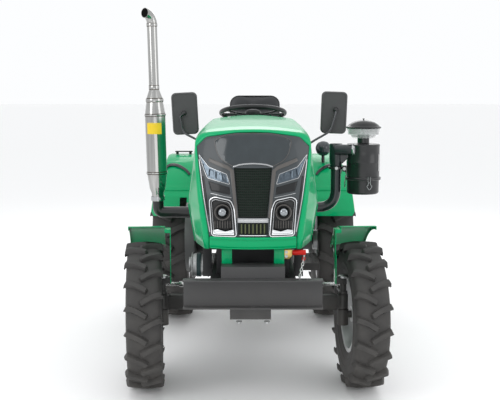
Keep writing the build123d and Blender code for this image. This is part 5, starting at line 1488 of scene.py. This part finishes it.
bridged(rim, rim_rings + rim_rings[:1])
bmesh.ops.transform(rim, matrix=turned_up, verts=rim.verts)
rim_piece = piece_from(rim, "steering_rim", rim_black, "black_plastic", "steering_wheel", 60)
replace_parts(rim_piece, "steering_wheel")
spoke_parts = bmesh.new()
for angle in (90, 210, 330):
    a = radians(angle)
    out = Vector((cos(a), sin(a), 0))
    over = Vector((-sin(a), cos(a), 0))
    sections = []
    for reach, z, half, thick in ((0.030, -0.012, 0.017, 0.0055), (0.070, -0.012, 0.0145, 0.005),
                                  (0.120, -0.009, 0.0125, 0.0045), (0.155, -0.004, 0.0135, 0.0045),
                                  (0.182, 0.0, 0.016, 0.005)):
        sections.append([spoke_parts.verts.new(out * reach + over * (half * cos(b))
                                               + Vector((0, 0, z + thick * sin(b))))
                         for b in circle_angles(16)])
    bridged(spoke_parts, sections, True)
bmesh.ops.transform(spoke_parts, matrix=turned_up, verts=spoke_parts.verts)
piece_from(spoke_parts, "steering_spokes", rim_black, "black_plastic", "steering_wheel", 60)
hub = lathed([(-0.026, 0.0), (-0.026, 0.034), (-0.020, 0.040), (-0.006, 0.044), (0.004, 0.045),
              (0.008, 0.043), (0.009, 0.0)], wheel_at, column_dir, 48)
piece_from(hub, "steering_hub", rim_black, "black_plastic", "steering_wheel", 35)
pad = lathed([(0.008, 0.0), (0.008, 0.037), (0.011, 0.038), (0.014, 0.036), (0.017, 0.026),
              (0.0185, 0.0)], wheel_at, column_dir, 48)
piece_from(pad, "horn_pad", pad_grey, "black_plastic", "steering_wheel", 40)
dressed("controls", satin_black, 0.003)
knob_red = finish_of("knob_red", (0.42, 0.02, 0.015), 0.3, coat=0.4, grain=0.1)
lever_tables = [  # foot, top, colour of its knob
    ((0.150, 0.150, 1.060), (0.158, 0.196, 1.196), moulded_black, "throttle"),
    ((-0.150, 0.150, 1.060), (-0.160, 0.200, 1.180), knob_red, "stop"),
]
for lever_foot, lever_top, colour, name in lever_tables:
    stalk = swept(bent_path([lever_foot, (lever_foot[0], lever_foot[1], lever_foot[2] + 0.05),
                             lever_top], 0.03, 6), 0.0040, 14)
    piece_from(stalk, name + "_lever", rod_zinc, "zinc", "chassis", 60)
    knob_run = [(-0.016, 0.0), (-0.016, 0.006), (-0.006, 0.0105), (0.006, 0.0125),
                (0.014, 0.0100), (0.018, 0.0)]
    knob_form = lathed(knob_run, lever_top, Vector(lever_top) - Vector(lever_foot), 24)
    piece_from(knob_form, name + "_knob", colour, "black_plastic", "chassis", 60)


def mirror_head(centre, lean):
    """A moulded mirror housing with a raised bead on its front; its glass faces the driver."""
    form = bmesh.new()
    half_x, half_z, corner = 0.072, 0.117, 0.026
    depths = [(-0.016, 0.016), (-0.016, 0.011), (-0.0175, 0.010), (-0.0175, 0.0065),
              (-0.016, 0.0055), (-0.013, 0.002), (-0.006, 0.0), (0.010, 0.0), (0.016, 0.003),
              (0.016, 0.006), (0.0145, 0.0065)]  # depth, inset
    rings = []
    for y, inset in depths:
        x, z, r = half_x - inset, half_z - inset, max(corner - inset * 0.6, 0.012)
        rings.append([form.verts.new(p)
                      for p in round_loop((-x, -z), (x, z), r, lambda a, b: (a, y, b), 6)])
    bridged(form, rings, True)
    bmesh.ops.transform(form, matrix=Matrix.Translation(centre) @ Matrix.Rotation(lean, 4, "Y"),
                        verts=form.verts)
    return form


mirror_y = front_axle_y + 0.900
mirror_black = finish_of("mirror_black", (0.060, 0.060, 0.062), 0.42, grain=0.5, grain_size=0.0012)
black_chrome = finish_of("black_chrome", (0.085, 0.088, 0.092), 0.16, metal=1.0, grain=0.1)
glass_silver = finish_of("glass_silver", (0.80, 0.82, 0.83), 0.03, metal=1.0, grain=0.0)
arm_tables = [  # side, mirror's middle, its lean, the arm's foot, bends and upper end
    ("right", (-0.380, 1.279), radians(-3), (-0.2385, 0.065, 1.060),
     [(-0.311, 0.060, 1.134), (-0.388, 0.056, 1.172), (-0.407, 0.056, 1.262),
      (-0.385, 0.060, 1.281)]),
    ("left", (0.452, 1.284), radians(2), (0.2385, 0.065, 1.060),
     [(0.336, 0.060, 1.127), (0.430, 0.056, 1.180), (0.458, 0.056, 1.270), (0.461, 0.060, 1.299)]),
]
for side_name, (mirror_x, mirror_z), lean, foot_at, bends in arm_tables:
    centre = Vector((mirror_x, mirror_y - 0.016, mirror_z))
    head = piece_from(mirror_head(centre, lean), "mirror_head_" + side_name, mirror_black,
                      "black_plastic", "chassis", 45)
    if side_name == "right":
        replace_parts(head, "mirrors")
    tilted = Matrix.Rotation(lean, 4, "Y")
    glass = bmesh.new()
    glass.faces.new([
        glass.verts.new(centre + tilted @ Vector(p))
        for p in round_loop((-0.064, -0.109), (0.064, 0.109), 0.020, lambda a, b: (a, 0.0162, b), 6)
    ])
    bmesh.ops.recalc_face_normals(glass, faces=glass.faces)
    if next(iter(glass.faces)).normal.y < 0:
        bmesh.ops.reverse_faces(glass, faces=glass.faces[:])
    piece_from(glass, "mirror_glass_" + side_name, glass_silver, "lamp", "chassis", 60)
    base, ball = Vector(foot_at), Vector(bends[-1])
    arm_run = bent_path([base] + bends, 0.030, 8)
    piece_from(swept(arm_run, 0.0062, 18), "mirror_arm_" + side_name, black_chrome, "zinc",
               "chassis", 60)
    cup = lathed([(-0.013, 0.0), (-0.013, 0.013), (-0.008, 0.0145), (0.000, 0.0120),
                  (0.006, 0.0095), (0.009, 0.0)], ball, (0, -1, 0), 28)
    piece_from(cup, "mirror_ball_" + side_name, satin_black, "black_plastic", "chassis", 60)
    outward = 1 if base.x > 0 else -1
    seat_boss = lathed([(-0.004, 0.0), (-0.004, 0.017), (0.004, 0.017), (0.006, 0.011),
                        (0.010, 0.011), (0.010, 0.0)], base, (outward, 0, 0), 28)
    piece_from(seat_boss, "mirror_foot_" + side_name, bolt_zinc, "zinc", "chassis", 40)

# ---------------------------------------------------------------- side rod, bracket and chain
# A short red rod stands out of a yellow-passivated bracket; a chain of oval steel links hangs
# from it to the bumper, its top link red.
red_enamel = gloss_enamel("red_enamel", (0.50, 0.015, 0.010))
yellow_zinc = finish_of("yellow_zinc", (0.62, 0.47, 0.16), 0.32, metal=0.9, mottle=0.25,
                        mottle_size=0.02)
dressed("side_rod", red_enamel, 0.002)
dressed("rod_bracket", yellow_zinc, 0.001)
rod_y, rod_z = front_axle_y - 0.341, 0.711
chain_top = Vector((0.224, rod_y, rod_z - 0.020))
chain_foot = Vector((0.200, rod_y - 0.1047, 0.621))
chain_run = (chain_foot - chain_top).normalized()
chain_across = Vector((chain_run.y, -chain_run.x, 0)).normalized()
link_pitch, red_links, all_links = 0.0177, 1, 7
for first, count, finish, name in ((0, red_links, red_enamel, "red_link"),
                                   (red_links, all_links - red_links, rod_zinc, "chain_links")):
    wide = chain_across if first % 2 == 0 else chain_run.cross(chain_across)
    oval = []
    for end in (1, -1):
        for k in range(7):
            a = radians(-90 + 30 * k)
            oval.append(chain_run * (end * (0.0060 + 0.0050 * cos(a)))
                        + wide * (end * 0.0050 * sin(a)))
    link_mesh = mesh_of(swept(oval + oval[:2], 0.0020, 8), "link")
    settings = {"Count": count, "Step": chain_run * link_pitch, "Twist": pi / 2,
                "Start": chain_top + chain_run * (0.011 + link_pitch * first), "Finish": finish}
    chain_piece = grown(link_mesh, rows_of, settings, name, "zinc", "chassis", 60)
    if name == "chain_links":
        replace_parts(chain_piece, "chain")
for place, name in ((chain_top, "chain_hook"), (chain_foot, "chain_eye")):
    stud = swept([place + Vector((0, 0, 0.009)), place, place - Vector((0, 0, 0.008))],
                 0.0038, 14)
    piece_from(stud, name, bolt_zinc, "zinc", "chassis", 40)
bolted("bracket_bolts", [((0.146, rod_y - 0.0041, z), (0, -1, 0)) for z in (0.695, 0.713)],
       0.0048, "chassis", bolt_zinc)

# ---------------------------------------------------------------- hitch
# Forged lift arms, turnbuckle rods and lower links of the three-point hitch, pinned with washers
# and nuts.  The gearbox's rear cover and the power take-off's flange are bolted on.
for node in ("lift_arms", "lower_links"):
    dressed(node, chassis_black, 0.002)
dressed("lift_rods", rod_zinc, 0.001)
hitch_y, gear_back_y, take_off_z = 0.735, 0.775, 0.560
arm_y, arm_z = hitch_y + 0.240 * cos(radians(5)), 0.770 + 0.240 * sin(radians(5))
pivot_places = [((side * x, hitch_y, z), (side, 0, 0)) for side in (1, -1)
                for x, z in ((0.1622, 0.770), (0.2122, 0.400))]
bolted("hitch_pivot_nuts", pivot_places, 0.012, "chassis", bolt_zinc)
tip_places = [((side * 0.1842, arm_y, arm_z), (side, 0, 0)) for side in (1, -1)]
bolted("lift_arm_nuts", tip_places, 0.009, nodes["lift_arms"]["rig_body"], bolt_zinc)
cover_places = [((x, gear_back_y + 0.0002, z), (0, 1, 0)) for x in (-0.132, -0.066, 0.066, 0.132)
                for z in (0.350, 0.655)]
cover_places += [((x, gear_back_y + 0.0002, z), (0, 1, 0)) for x in (-0.132, 0.132)
                 for z in (0.450, 0.555)]
cover_places += [((0.068 * sin(a), gear_back_y + 0.0002, take_off_z + 0.068 * cos(a)), (0, 1, 0))
                 for a in circle_angles(6)]
cover_places += [((side * 0.1502, y, z), (side, 0, 0)) for side in (1, -1)
                 for y in (0.535, 0.615, 0.695) for z in (0.350, 0.660)]
bolted("gearbox_bolts", cover_places, 0.0075, "chassis", bolt_zinc)
guard_run = [(0.0, 0.030), (0.0, 0.052), (0.004, 0.056), (0.012, 0.056), (0.012, 0.030),
             (0.0, 0.030)]
guard = lathed(guard_run, (0, gear_back_y, take_off_z), (0, 1, 0), 48)
piece_from(guard, "take_off_flange", engine_cast, "cast", "chassis", 30)
